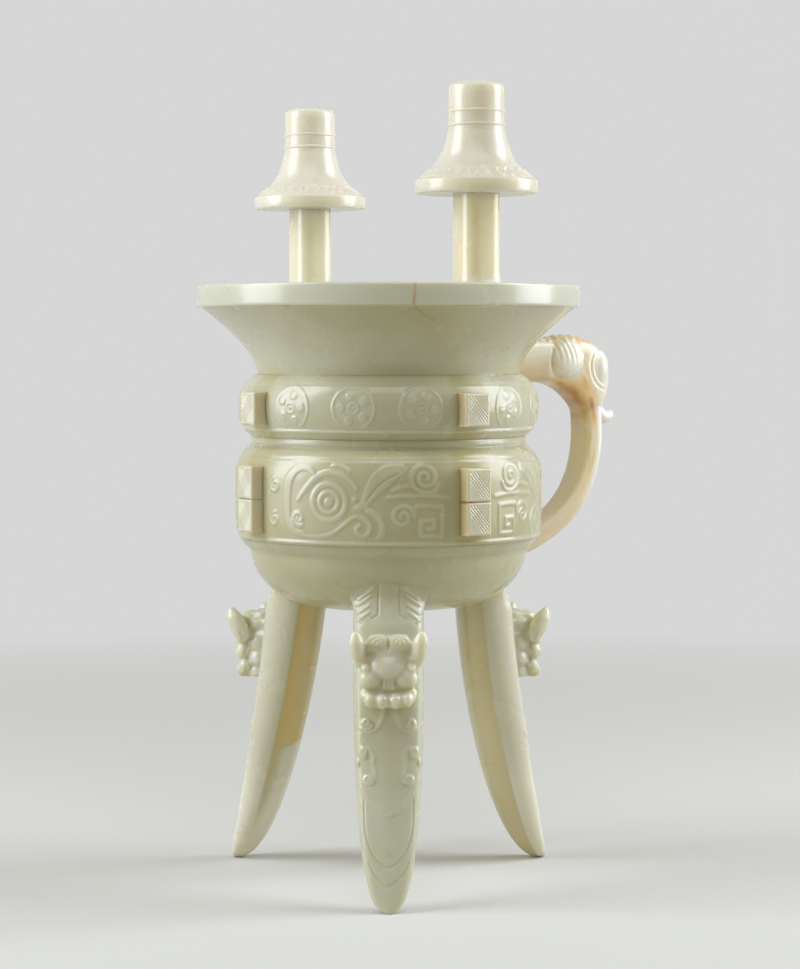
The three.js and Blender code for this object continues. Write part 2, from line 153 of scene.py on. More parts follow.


# the clouds, veins, stains, painted shade and highlight, and polish that every piece of the stone shares
def makeJadeStone():
    tree = bpy.data.node_groups.new("jadeStone", "ShaderNodeTree")
    for name in toneNames:
        tree.interface.new_socket(name, in_out="INPUT", socket_type="NodeSocketColor")
    for name in ("Stain And Painted Light", "Painted Light"):
        tree.interface.new_socket(name, in_out="INPUT", socket_type="NodeSocketFloat")
    for name, kind in (("Color", "Color"), ("Roughness", "Float"), ("Grain", "Float")):
        tree.interface.new_socket(name, in_out="OUTPUT", socket_type="NodeSocket" + kind)
    given = tree.nodes.new("NodeGroupInput").outputs
    amount, paintedLight = given["Stain And Painted Light"], given["Painted Light"]
    place = addNode(tree, "ShaderNodeTexCoord").outputs["Object"]
    broad, patch, thread, speck = [addNoise(tree, place, name) for name in stoneNoise]
    vein = sums(tree, "ABSOLUTE", sums(tree, "SUBTRACT", thread, 0.5), 0.0)
    stainAndPaintedLight = sums(tree, "MULTIPLY", mapRange(tree, amount, 0.0, 1.0), mapRange(tree, patch, 0.3, 0.66, 0.6, 1.0))
    streaks = mapRange(tree, thread, 0.36, 0.6, 0.45, 1.0)
    rust = sums(tree, "MULTIPLY", mapRange(tree, amount, 1.0, 2.0), streaks)
    crack = mapRange(tree, broad, 0.0, 1.0, 0.01, 0.02)
    for ends in zip(fissure[:-1], fissure[1:]):
        crack = sums(tree, "MINIMUM", crack, spanDistance(tree, place, *ends))
    crack = sums(tree, "ADD", crack, mapRange(tree, thread, 0.3, 0.7, 0.0, 0.0005))
    layers = [
        (mapRange(tree, broad, 0.3, 0.72), "CloudAndPaintedLight"),
        (mapRange(tree, patch, 0.4, 0.8, 0.0, 0.3), "CloudAndPaintedLight"),
        (mapRange(tree, vein, 0.0, 0.01, 0.08, 0.0), "Stain"),
        (stainAndPaintedLight, "Stain"),
        (rust, "Rust"),
        # a negative amount whitens: partly painted light (the lip's sheen, the legs' lightening, the masks'
        # fronts), partly paler stone
        (mapRange(tree, amount, 0.0, -1.0), "CloudAndPaintedLight"),
        (mapRange(tree, amount, -1.0, -2.0), "MilkAndPaintedLight"),
        # painted shade: negative values darken hollows, creases and shaded parts; positive values are a painted
        # highlight on raised carving
        (mapRange(tree, paintedLight, 0.0, -1.0, 0.0, 0.6), "PaintedShade"),
        (mapRange(tree, paintedLight, 0.0, 1.0, 0.0, 0.3), "CloudAndPaintedLight"),
        (mapRange(tree, crack, 0.0001, 0.001, 0.6, 0.0), "Rust"),
    ]
    color = given["Clear"]
    for factor, tone in layers:
        color = mixColor(tree, factor, color, given[tone])
    result = tree.nodes.new("NodeGroupOutput").inputs
    tree.links.new(color, result["Color"])
    tree.links.new(mapRange(tree, patch, 0.3, 0.7, 0.2, 0.3), result["Roughness"])
    tree.links.new(sums(tree, "MULTIPLY", speck, 0.5), result["Grain"])
    return tree


jadeStone = makeJadeStone()


def makeJade(finish):
    depth, weight, *tones = finishes[finish]
    material = bpy.data.materials.new(finish)
    material.use_nodes = True
    tree = material.node_tree
    shader = tree.nodes["Principled BSDF"]
    stone = addNode(tree, "ShaderNodeGroup", node_tree=jadeStone)
    for name, tone in zip(toneNames, tones):
        stone.inputs[name].default_value = srgb(*tone)
    for name, attribute in (("Stain And Painted Light", "stainAndPaintedLight"), ("Painted Light", "paintedLight")):
        read = addNode(tree, "ShaderNodeAttribute", attribute_name=attribute)
        tree.links.new(read.outputs["Fac"], stone.inputs[name])
    bump = addNode(tree, "ShaderNodeBump", {"Height": stone.outputs["Grain"], **grain})
    tree.links.new(stone.outputs["Color"], shader.inputs["Base Color"])
    tree.links.new(stone.outputs["Roughness"], shader.inputs["Roughness"])
    tree.links.new(bump.outputs["Normal"], shader.inputs["Normal"])
    for name, value in {**polish, "Subsurface Scale": depth, "Subsurface Weight": weight}.items():
        shader.inputs[name].default_value = value
    return material


jade = {finish: makeJade(finish) for finish in finishes}
print("stone: %d finishes" % len(jade))


# carving: strokes on a flat design, each a path with a width and a rise
def smoothStep(low, high, value):
    share = np.clip((value - low) / (high - low), 0, 1)
    return share * share * (3 - 2 * share)


def bezierPoints(corners, count):
    share = np.linspace(0, 1, count)[:, None]
    points = [np.array(corner, float)[None, :] * np.ones_like(share) for corner in corners]
    while len(points) > 1:
        points = [a * (1 - share) + b * share for a, b in zip(points[:-1], points[1:])]
    return points[0]


def smoothPath(points, perSpan=8):
    knots = np.array(points, float)
    knots = np.vstack([2 * knots[0] - knots[1], knots, 2 * knots[-1] - knots[-2]])
    share = np.linspace(0, 1, perSpan, endpoint=False)[:, None]
    spans = []
    for a, b, c, d in zip(knots[:-3], knots[1:-2], knots[2:-1], knots[3:]):
        spans.append(0.5 * (2 * b + (c - a) * share + (2 * a - 5 * b + 4 * c - d) * share ** 2
                            + (3 * b - a - 3 * c + d) * share ** 3))
    return np.vstack(spans + [knots[-2:-1]])


def spiralPath(centre, outer, inner, turns, start, count=40):
    share = np.linspace(0, 1, count)
    angle = math.radians(start) + 2 * math.pi * turns * share
    reach = outer + (inner - outer) * share
    return np.stack([centre[0] + reach * np.cos(angle), centre[1] + reach * np.sin(angle)], 1)


def stroke(path, wide, rise, soft=0.32):
    wide = np.atleast_1d(np.array(wide, float))
    return {"path": np.array(path, float), "wide": wide, "rise": rise, "soft": soft}


def ring(centre, radius, wide, rise, soft=0.3):
    return stroke(spiralPath(centre, radius, radius, 1, 0, 30), wide, rise, soft)


def dot(centre, radius, rise, soft=0.5):
    return stroke([centre, (centre[0] + 0.01, centre[1])], 2 * radius, rise, soft)


def nearPath(u, v, path):
    near = np.full(u.shape, 1e9)
    share = np.zeros(u.shape)
    spans = np.diff(path, axis=0)
    lengths = np.hypot(spans[:, 0], spans[:, 1])
    begun = np.concatenate([[0], np.cumsum(lengths)])
    for a, span, length, before in zip(path[:-1], spans, lengths, begun):
        along = np.clip(((u - a[0]) * span[0] + (v - a[1]) * span[1]) / max(length * length, 1e-12), 0, 1)
        distance = np.hypot(u - a[0] - along * span[0], v - a[1] - along * span[1])
        closer = distance < near
        near = np.where(closer, distance, near)
        share = np.where(closer, (before + along * length) / begun[-1], share)
    return near, share


def carve(u, v, strokes):
    height = np.zeros(u.shape)
    for one in strokes:
        path, wide = one["path"], one["wide"]
        reach = wide.max() / 2 + one["soft"]
        low, high = path.min(0) - reach, path.max(0) + reach
        there = (u > low[0]) & (u < high[0]) & (v > low[1]) & (v < high[1])
        if not there.any():
            continue
        distance, share = nearPath(u[there], v[there], path)
        half = np.interp(share, np.linspace(0, 1, len(wide)), wide) / 2
        mask = 1 - smoothStep(half - one["soft"], half + one["soft"], distance)
        if one["rise"] > 0:
            height[there] = np.maximum(height[there], one["rise"] * mask)
        else:
            height[there] += one["rise"] * mask
    return height


# meshes: built in millimetres round the vessel's axis, then turned to their place
def meshFrom(bm, name):
    bmesh.ops.recalc_face_normals(bm, faces=bm.faces)
    mesh = bpy.data.meshes.new(name)
    bm.to_mesh(mesh)
    bm.free()
    return mesh


def readVerts(mesh, kind="co"):
    values = np.zeros(len(mesh.vertices) * 3)
    mesh.vertices.foreach_get(kind, values)
    return values.reshape(-1, 3)


def setCoords(mesh, coords):
    mesh.vertices.foreach_set("co", np.ascontiguousarray(coords).ravel())
    mesh.update()


def tag(mesh, name, values):
    attribute = mesh.attributes.get(name) or mesh.attributes.new(name, "FLOAT", "POINT")
    attribute.data.foreach_set("value", np.ascontiguousarray(values, dtype=np.float32))


def placePiece(name, mesh, nodes, slotName, turn=0.0, sharpAngle=50, finish=None):
    for attribute in ("paintedLight", "stainAndPaintedLight"):
        if attribute not in mesh.attributes:
            tag(mesh, attribute, np.zeros(len(mesh.vertices)))
    mesh.transform(Matrix.Scale(mm, 4) @ Matrix.Translation((axisX, 0, 0)) @ Matrix.Rotation(turn, 4, "Z"))
    mesh.polygons.foreach_set("use_smooth", [True] * len(mesh.polygons))
    mesh.set_sharp_from_angle(angle=math.radians(sharpAngle))
    mesh.materials.append(jade[finish or slotName])
    piece = bpy.data.objects.new(name, mesh)
    scene.collection.objects.link(piece)
    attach(piece, "root")
    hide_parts(*nodes)
    return piece


def vertsIn(geometry):
    return [item for item in geometry if isinstance(item, bmesh.types.BMVert)]


# a profile spun through part of a turn, which is then doubled until it closes
def spun(points, steps, closed=False, doublings=4):
    bm = bmesh.new()
    corners = [bm.verts.new((radius, 0, height)) for radius, height in points]
    edges = [bm.edges.new(pair) for pair in zip(corners[:-1], corners[1:])]
    if closed:
        edges.append(bm.edges.new((corners[-1], corners[0])))
    part = 2 * math.pi / 2 ** doublings
    bmesh.ops.spin(bm, geom=corners + edges, cent=(0, 0, 0), axis=(0, 0, 1), angle=part,
                   steps=steps // 2 ** doublings)
    for number in range(doublings):
        grown = bmesh.ops.duplicate(bm, geom=bm.verts[:] + bm.edges[:] + bm.faces[:])["geom"]
        bmesh.ops.rotate(bm, cent=(0, 0, 0), matrix=Matrix.Rotation(part * 2 ** number, 3, "Z"),
                         verts=vertsIn(grown))
    bmesh.ops.remove_doubles(bm, verts=bm.verts, dist=1e-3)
    return bm


# a circle drawn toward a square as the power falls
def squarish(around, power):
    angle = 2 * math.pi * around
    return [np.sign(part) * np.abs(part) ** power for part in (np.cos(angle), np.sin(angle))]


def sheetGrid(across, up):
    bm = bmesh.new()
    bmesh.ops.create_grid(bm, x_segments=across, y_segments=up, size=0.5)
    places = np.array([vert.co[:2] for vert in bm.verts]) + 0.5
    return bm, places[:, 0], places[:, 1]


def moveVerts(bm, coords):
    for vert, place in zip(bm.verts, coords):
        vert.co = place


def closeEnds(bm):
    bmesh.ops.remove_doubles(bm, verts=bm.verts, dist=1e-3)
    bmesh.ops.holes_fill(bm, edges=[edge for edge in bm.edges if edge.is_boundary])
    return bm


def blob(bm, centre, radii):
    bmesh.ops.create_icosphere(bm, subdivisions=3, radius=1,
                               matrix=Matrix.Translation(centre) @ Matrix.Diagonal((*radii, 1)))


def trail(bm, path, sizes, perSpan=5):
    places = smoothPath(path, perSpan)
    sizes = np.array([size if isinstance(size, tuple) else (size,) * 3 for size in sizes])
    for number, place in enumerate(places):
        at = number / perSpan
        blob(bm, tuple(place), tuple(np.interp(at, range(len(sizes)), sizes[:, axis]) for axis in range(3)))


def block(bm, centre, sizes):
    bmesh.ops.create_cube(bm, size=1, matrix=Matrix.Translation(centre) @ Matrix.Diagonal((*sizes, 1)))


# one skin over shapes that run into each other, softened as hand polish does
def skinned(bm, name, voxel, passes):
    mesh = meshFrom(bm, name + "Rough")
    rough = bpy.data.objects.new(name + "Rough", mesh)
    scene.collection.objects.link(rough)
    modifier = rough.modifiers.new("skin", "REMESH")
    modifier.mode, modifier.voxel_size = "VOXEL", voxel
    skin = bpy.data.meshes.new_from_object(rough.evaluated_get(bpy.context.evaluated_depsgraph_get()))
    bpy.data.objects.remove(rough)
    bpy.data.meshes.remove(mesh)
    bm = bmesh.new()
    bm.from_mesh(skin)
    bpy.data.meshes.remove(skin)
    for _ in range(passes):
        bmesh.ops.smooth_vert(bm, verts=bm.verts, factor=0.5,
                              use_axis_x=True, use_axis_y=True, use_axis_z=True)
    return meshFrom(bm, name)


# bowl: lip, flared neck, two bands with a groove between, round bottom
bowl = {
    "rim": 61.0, "lipStep": 1.4, "lipWidth": 7.0, "lipRound": 0.9, "lipFoot": 0.6, "mouthLean": 0.7,
    "neck": 42.1, "flareRise": 7.8, "upperBand": 47.9, "groove": 43.8, "lowerBand": 48.9,
    "base": 44.3, "baseFlat": 20.0, "baseTurn": 38.0, "baseShoulder": 6.0, "flatRing": 10.0,
    "shoulder": 10.0, "shoulderRound": 3.0, "shoulderGap": 0.3, "bore": 36.1, "floorFillet": 14.0,
    "baseLevel": 87.5, "floorLevel": 96.5, "beadLevel": 106.0, "lowerTop": 139.4, "upperFoot": 141.8,
    "neckLevel": 161.6, "lipLevel": 182.7, "rimLevel": 189.6,
    "cordProud": 0.12, "cordHalf": 0.9, "steps": 256, "row": 0.4,
    "bandOverlap": 4.4, "underBand": 1.3, "tuckEdge": 0.04, "tuckFade": (0.5, 1.4),
    "creases": (140.6, 162.0), "creaseSpread": 2.6, "creaseShade": 0.5,
    "flareShade": 0.2, "flareFade": (165, 179), "flareTop": 182.5, "lowShade": 0.4, "lowShadeTop": 139,
    "lipPaintedSheen": -1.05, "lipFrom": 182.6, "lipInner": 53.5,
}
baseLine = bezierPoints([(bowl["baseFlat"], bowl["baseLevel"]), (bowl["baseTurn"], bowl["baseLevel"]),
                         (bowl["base"], bowl["beadLevel"] - bowl["baseShoulder"]),
                         (bowl["base"], bowl["beadLevel"])], 26)


def bandOutline(low, full, toRadius, toLevel, fromRadius):
    shoulder = min(bowl["shoulder"], (toLevel - low) / 2 - bowl["shoulderGap"])
    turn = bowl["shoulderRound"]
    rising = bezierPoints([(fromRadius, low), (full, low + turn), (full, low + shoulder)], 16)
    falling = bezierPoints([(full, toLevel - shoulder), (full, toLevel - turn), (toRadius, toLevel)], 16)
    return np.vstack([rising, falling])


def radiusAt(outline, level):
    return np.interp(level, outline[:, 1], outline[:, 0])


flangeTurn = math.radians(1.8)  # flanges and bands stand a little round from the legs and posts
bandMake = {
    "row": 0.36, "steps": 832, "deep": 10.5, "wallLeft": 2, "backRows": 6, "faceDepth": 1.0, "panelFade": 0.8,
    "riseShade": 0.4, "groundShade": 0.25, "besideShade": 0.6, "besideFade": (7.5, 4.6),
}
bands = {  # rings: level, height (cut in where negative), spread
    "lowerBand": {"outline": bandOutline(*[bowl[name] for name in (
                      "beadLevel", "lowerBand", "groove", "lowerTop", "base")]),
                  "low": 109.5, "high": bowl["lowerTop"],
                  "rings": [(110.5, 0.55, 0.5), (135.9, -0.22, 0.35), (111.7, -0.16, 0.4)]},
    "upperBand": {"outline": bandOutline(*[bowl[name] for name in (
                      "upperFoot", "upperBand", "neck", "neckLevel", "groove")]),
                  "low": bowl["upperFoot"], "high": bowl["neckLevel"],
                  "rings": [(144.3, 0.5, 0.5), (158.8, -0.18, 0.35), (145.3, -0.14, 0.4)]},
}


def bowlProfile():
    b = bowl
    outside = [np.array([[0.0, b["baseLevel"]], [b["flatRing"], b["baseLevel"]]]), baseLine[:-1]]
    for name, band in bands.items():
        outline = band["outline"]
        levels = np.arange(band["low"] - b["bandOverlap"], band["high"] + b["bandOverlap"], b["row"])
        levels = levels[(levels > outline[0, 1]) & (levels < outline[-1, 1])]
        inside = np.minimum(levels - band["low"], band["high"] - levels)
        tuck = b["tuckEdge"] * (inside > 0) + (1 - b["tuckEdge"]) * smoothStep(*b["tuckFade"], inside)
        outside.append(np.stack([radiusAt(outline, levels) - b["underBand"] * tuck, levels], 1))
        if name == "lowerBand":  # thin cord in the groove
            share = np.linspace(0, math.pi, 9)
            middle = (b["lowerTop"] + b["upperFoot"]) / 2
            outside.append(np.stack([b["groove"] + b["cordProud"] * np.sin(share),
                                     middle - b["cordHalf"] * np.cos(share)], 1))
    rim, lip, brim, turn = b["rim"], b["lipLevel"], b["rimLevel"], b["lipRound"]
    bore, floor, waist = b["bore"], b["floorLevel"], b["neckLevel"]
    flareTurn, fillet = waist + b["flareRise"], b["floorFillet"]
    mouth = rim - b["lipWidth"]
    innerEdge = (mouth - b["mouthLean"] * turn, brim - turn)
    outside += [
        bezierPoints([(b["neck"], waist), (b["neck"], flareTurn), (rim - b["lipStep"], lip)], 30),
        bezierPoints([(rim - b["lipFoot"], lip), (rim, lip), (rim, lip + turn)], 5),
        bezierPoints([(rim, brim - turn), (rim, brim), (rim - turn, brim)], 7),
        bezierPoints([(mouth + turn, brim), (mouth, brim), innerEdge], 6),
    ]
    inside = [
        bezierPoints([innerEdge, (bore, flareTurn), (bore, waist)], 26)[1:],
        bezierPoints([(bore, waist), (bore, floor + fillet)], 14)[1:],
        bezierPoints([(bore, floor + fillet), (bore, floor), (bore - fillet, floor)], 14)[1:],
        np.array([[b["flatRing"], floor], [0.0, floor]]),
    ]
    return np.vstack(outside + inside)


def creaseShade(level):  # golden in the groove and at the waist
    return sum(bowl["creaseShade"] * np.exp(-((level - crease) / bowl["creaseSpread"]) ** 2)
               for crease in bowl["creases"])


def makeBowl():
    b = bowl
    mesh = meshFrom(spun(bowlProfile(), b["steps"]), "bowl")
    coords = readVerts(mesh)
    level = coords[:, 2]
    outward = np.sum(coords[:, :2] * readVerts(mesh, "normal")[:, :2], 1) > 0
    # painted shade: darker in the groove and waist creases, on the lower band and base, and on the flare under
    # the lip
    shade = creaseShade(level) + b["lowShade"] * (level < b["lowShadeTop"])
    shade += b["flareShade"] * smoothStep(*b["flareFade"], level) * (level < b["flareTop"])
    # painted sheen: the lip's top and outer face are whitened
    onLip = (level > b["lipFrom"]) & (np.hypot(coords[:, 0], coords[:, 1]) > b["lipInner"])
    tag(mesh, "paintedLight", -shade * outward)
    tag(mesh, "stainAndPaintedLight", b["lipPaintedSheen"] * onLip)
    placePiece("bowlBody", mesh, ["bowl"], "pale_jade", sharpAngle=40)


makeBowl()
print("bowl: turned")

# one quarter of each band, drawn flat: arc from the front flange, then height above the floor
lowerDesign = {
    "ground": (111.9, 135.4), "recess": 0.13, "rise": 0.25, "offset": 1.3,
    "eye": (32.4, 123.2), "eyeRings": [(5.5, 1.5), (3.1, 1.2)], "eyeDot": 1.3, "hornDot": (40.7, 124.2),
    "paths": {  # width along the path, share of the rise, softness, points
        "brow": ((0.9, 1.6, 1.8, 1.6, 0.9), 1, 0.32, [
            (21.5, 123.6), (23.2, 125.8), (25.6, 128.4), (28.2, 130.7), (31.3, 132.1), (34.6, 132.2),
            (37.6, 131.0), (40.2, 128.9), (41.3, 127.4)]),
        "hook": ((1.4, 2.0, 3.0, 3.0, 2.7, 2.3, 1.7), 0.9, 0.32, [
            (27.2, 131.9), (25.6, 133.2), (22.8, 133.6), (19.9, 132.4), (18.0, 129.6), (17.2, 125.8),
            (17.1, 121.6), (17.7, 117.6), (19.8, 114.2), (23.0, 113.2)]),
        "horn": ((1.2, 2.6, 4.4, 6.2, 5.8, 3.2), 0.85, 0.4, [
            (40.6, 121.3), (43.4, 122.4), (45.4, 125.8), (48.3, 129.6), (51.6, 132.2), (54.9, 133.2)]),
        "lock": (0.9, 1, 0.32, [(33.4, 134.3), (35.2, 134.6), (37.2, 134.0), (39.0, 132.7)]),
        "tail": (1.15, 1, 0.32, [
            (23.6, 112.6), (27.0, 112.4), (30.5, 112.8), (34.2, 114.0), (37.0, 116.2), (39.4, 118.1),
            (41.7, 118.9), (44.4, 117.8), (45.5, 115.6), (44.4, 113.4), (42.2, 113.3), (41.0, 115.0),
            (42.2, 116.2)]),
        "sweep": (1.7, 1, 0.32, [(44.6, 121.0), (47.6, 119.4), (49.2, 116.4), (48.9, 113.4), (47.0, 111.4)]),
        "roundelTail": (1.15, 1, 0.32, [
            (57.7, 130.4), (58.6, 127.9), (61.2, 126.2), (64.6, 126.4), (66.2, 128.6)]),
        "divide": (1.15, 1, 0.32, [(50.8, 124.8), (56.6, 125.1), (63.2, 125.1), (69.6, 124.5)]),
        "feather": (1.15, 1, 0.32, [(52.1, 127.0), (55.0, 127.9), (57.8, 128.2)]),
    },
    "curls": {  # width along the curl, softness, then centre, outer and inner reach, turns and start
        "hookCurl": ((1.5, 1.2, 1.0), 0.32, ((21.8, 118.1), 2.4, 0.5, -1.35, 300)),
        "upperFlank": (1.0, 0.28, ((11.9, 127.8), 2.3, 0.5, 1.4, 100)),
        "lowerFlank": (1.0, 0.28, ((11.6, 117.4), 2.2, 0.5, 1.4, 80)),
        "roundel": ((1.4, 1.3, 1.0), 0.32, ((62.0, 130.6), 4.3, 0.6, -1.6, 175)),
        "scroll": ((1.4, 1.3, 1.0), 0.32, ((55.3, 118.8), 3.6, 0.5, 1.6, 20)),
    },
    "meander": [(58.7, 118.8), (59.1, 121.9), (63.2, 122.0), (67.4, 121.7), (67.5, 117.2), (67.3, 112.9),
                (62.0, 112.8), (60.6, 113.0), (60.5, 117.6), (64.6, 117.7), (64.7, 115.2), (62.9, 115.1)],
    "hornLine": [(44.4, 124.0), (47.4, 127.8), (50.6, 130.4), (53.6, 131.8)],
}


def lowerStrokes():
    d, rise = lowerDesign, lowerDesign["rise"]
    strokes = [ring(d["eye"], radius, wide, rise) for radius, wide in d["eyeRings"]]
    strokes += [dot(d["eye"], d["eyeDot"], rise), dot(d["hornDot"], 0.8, rise, 0.4)]
    for wide, share, soft, points in d["paths"].values():
        strokes.append(stroke(smoothPath(points), wide, rise * share, soft))
    for wide, soft, curl in d["curls"].values():
        strokes.append(stroke(spiralPath(*curl), wide, rise, soft))
    strokes.append(stroke(d["meander"], 1.15, rise, 0.28))
    strokes.append(stroke(smoothPath(d["hornLine"]), 0.45, -0.22, 0.22))
    return strokes


upperDesign = {
    "ground": (145.4, 158.4), "recess": 0.12, "rise": 0.3, "offset": 0.0, "level": 151.6,
    "places": (16.1, 37.8, 58.6), "rim": 6.6, "heart": 1.5, "line": 0.5, "discRise": 0.08,
    "petals": 5, "petalReach": 3.9, "petalSize": 1.45, "petalTurn": 0.55,
    "curlInner": 0.25, "curlTurns": 1.1, "curlStart": 150,
}


def upperStrokes():
    d, rise, strokes = upperDesign, upperDesign["rise"], []
    for number, along in enumerate(d["places"]):
        centre = (along, d["level"])
        strokes.append(dot(centre, d["rim"], d["discRise"]))
        strokes += [ring(centre, radius, d["line"], rise, 0.25) for radius in (d["rim"], d["heart"])]
        strokes.append(dot(centre, d["line"], rise, 0.3))
        for petal in range(d["petals"]):
            turn = 2 * math.pi * petal / d["petals"] + d["petalTurn"] * number
            place = (along + d["petalReach"] * math.cos(turn), d["level"] + d["petalReach"] * math.sin(turn))
            strokes.append(dot(place, d["petalSize"], rise))
            curl = spiralPath(place, d["petalSize"], d["curlInner"], d["curlTurns"],
                              math.degrees(turn) + d["curlStart"], 16)
            strokes.append(stroke(curl, 0.34, -0.14, 0.2))
    return strokes


def makeBand(name, design, strokes):
    band, make = bands[name], bandMake
    outline = band["outline"]
    levels = np.arange(band["low"], band["high"] + 0.01, make["row"])
    radii = radiusAt(outline, levels)
    for level, proud, spread in band["rings"]:
        radii = radii + proud * np.exp(-((levels - level) / spread) ** 2)
    hidden = levels[::-make["backRows"]]
    inner = np.maximum(radiusAt(outline, hidden) - make["deep"], bowl["bore"] + make["wallLeft"])
    profile = np.vstack([np.stack([radii, levels], 1), np.stack([inner, hidden], 1)])
    mesh = meshFrom(spun(profile, make["steps"], closed=True), name)
    coords = readVerts(mesh)
    z, radius = coords[:, 2], np.hypot(coords[:, 0], coords[:, 1])
    full, offset = outline[:, 0].max(), design["offset"]
    # arc from the front flange or the handle, whichever is nearer
    around = np.abs((np.arctan2(coords[:, 1], coords[:, 0]) - flangeTurn) % (2 * math.pi) - math.pi)
    arc = np.minimum(around, math.pi - around) * full + offset
    front = radius > radiusAt(outline, z) - make["faceDepth"]
    low, high = design["ground"]
    fade = make["panelFade"]
    panel = smoothStep(low, low + fade, z) * (1 - smoothStep(high - fade, high, z))
    height = np.where(front, carve(arc, z, strokes), 0.0)
    proud = panel * (height - design["recess"]) * front
    coords[:, :2] *= ((radius + proud) / radius)[:, None]
    setCoords(mesh, coords)
    # painted light: raised strokes lighter; painted shade on the sunk ground, beside the tiles, in the creases
    # and on the lower bowl
    beside = smoothStep(*make["besideFade"], arc - offset)
    beside += smoothStep(*make["besideFade"], full * math.pi / 2 + offset - arc)
    depth = panel * (height / design["rise"] * make["riseShade"] - make["groundShade"])
    depth -= make["besideShade"] * beside + creaseShade(z) + bowl["lowShade"] * (z < bowl["lowerTop"])
    tag(mesh, "paintedLight", np.where(front, depth, 0.0))
    placePiece(name, mesh, ["bowl"], "pale_jade", sharpAngle=70)


makeBand("lowerBand", lowerDesign, lowerStrokes())
makeBand("upperBand", upperDesign, upperStrokes())
print("bands: carved")

# flange tiles: hatched blocks let into the bands
tiles = {
    "wide": 8.7, "tall": 10.2, "proud": 3.7, "seat": 1.6, "chamfer": 0.7, "cells": 64,
    "hatchDeep": 0.16, "hatchPitch": 0.82, "hatchWide": 0.34, "hatchReach": 2.1, "reachFade": 0.4,
    "lineFade": (0.06, 0.08), "margin": (0.7, 1.1), "skinDepth": (0.3, 0.7),
    "joint": 123.15, "jointSpread": 0.5, "jointFade": (0.5, -3.5),
    "places": {"upper_flange": ("upperBand", 151.1), "lower_flange_top": ("lowerBand", 128.3),
               "lower_flange_foot": ("lowerBand", 118.0)},
    # turn, golden tone on the sides, russet at the joint
    "sides": {"left": (math.pi / 2, 0.45, 0.5), "front": (math.pi, 0.45, 0.5),
              "right": (-math.pi / 2, 0.8, 1.3)},
}


def makeTile(side, name):
    t = tiles
    band, middle = t["places"][name]
    turn, skin, russet = t["sides"][side]
    bm, across, up = sheetGrid(t["cells"], t["cells"])
    y, z = (across - 0.5) * t["wide"], (up - 0.5) * t["tall"]
    edge = np.minimum(t["wide"] / 2 - np.abs(y), t["tall"] / 2 - np.abs(z))
    rounding = t["chamfer"] * (1 - np.sqrt(1 - (1 - np.clip(edge / t["chamfer"], 0, 1)) ** 2))
    hatch = np.zeros(y.shape)
    lineCore, lineSoft = t["lineFade"]
    for lean in (-1, 1):  # two bundles of lines that cross
        off = (y * t["tall"] - lean * z * t["wide"]) / math.hypot(t["tall"], t["wide"])
        inLine = np.abs((off + t["hatchPitch"] / 2) % t["hatchPitch"] - t["hatchPitch"] / 2)
        bundle = 1 - smoothStep(t["hatchReach"], t["hatchReach"] + t["reachFade"], np.abs(off))
        hatch = np.maximum(hatch, bundle * (1 - smoothStep(lineCore, t["hatchWide"] / 2 + lineSoft, inLine)))
    hatch = hatch * smoothStep(*t["margin"], edge)
    face = bowl[band] + t["proud"]
    moveVerts(bm, np.stack([face - rounding - t["hatchDeep"] * hatch, y, z + middle], 1))
    rim = [line for line in bm.edges if line.is_boundary]
    grown = bmesh.ops.extrude_edge_only(bm, edges=rim)["geom"]
    deep = t["proud"] + t["seat"] - t["chamfer"]
    bmesh.ops.translate(bm, vec=(-deep, 0, 0), verts=vertsIn(grown))
    mesh = meshFrom(closeEnds(bm), "%s_%s" % (side, name))
    x, y, z = readVerts(mesh).T
    near, far = t["skinDepth"]
    atJoint = np.exp(-((z - t["joint"]) / t["jointSpread"]) ** 2) * smoothStep(*t["jointFade"], y)
    tag(mesh, "stainAndPaintedLight", skin * smoothStep(face - near, face - far, x) + russet * atJoint)
    placePiece("%sTile_%s" % (side, name), mesh, ["%s_%s" % (side, name)], "cream_jade", turn + flangeTurn,
               finish="tile_jade")


for side in tiles["sides"]:
    for name in tiles["places"]:
        makeTile(side, name)
print("flange tiles: hatched")

# legs: blades that splay to a small toe, with scrolls, a tongue and leaf lines on the outer face
leg = {
    "height": (0.0, 3.94, 48.1, 87.5), "outer": (59.9, 56.0, 44.1, 41.0), "half": (2.1, 10.6, 11.5, 11.2),
    "inner": {"handle": (56.3, 39.2, 27.8, 26.0), "left": (56.3, 40.8, 29.4, 23.8),
              "right": (56.3, 40.8, 29.4, 23.8)},
    "toeRound": 2.6, "toeBlunt": 0.98, "flank": (0.54, 0.7), "faceDepth": (2.2, 0.9),
    "crest": 2.5, "crestLoss": 0.8, "crestFade": (88, 101), "flare": 1.2, "flareFade": (84, 98),
    "intoBowl": 16.5, "fillet": 2.4, "topReach": 40.3, "topRound": 2.2, "topFade": (84, 95),
    "sink": 0.25, "sinkFade": (96, 103), "mergeFade": (83, 87), "mergeDepth": (4, 1.5),
    "carveFade": (95.5, 98.5),
    "rows": 320, "faceCells": 50, "flankCells": 24, "keelCells": 34, "roundPasses": 220,
    "topShade": 0.4, "shadeFade": (86, 98), "lipShade": 0.8, "lipLevel": 60.2, "lipTall": 2.2, "lipHalf": 6.5,
}
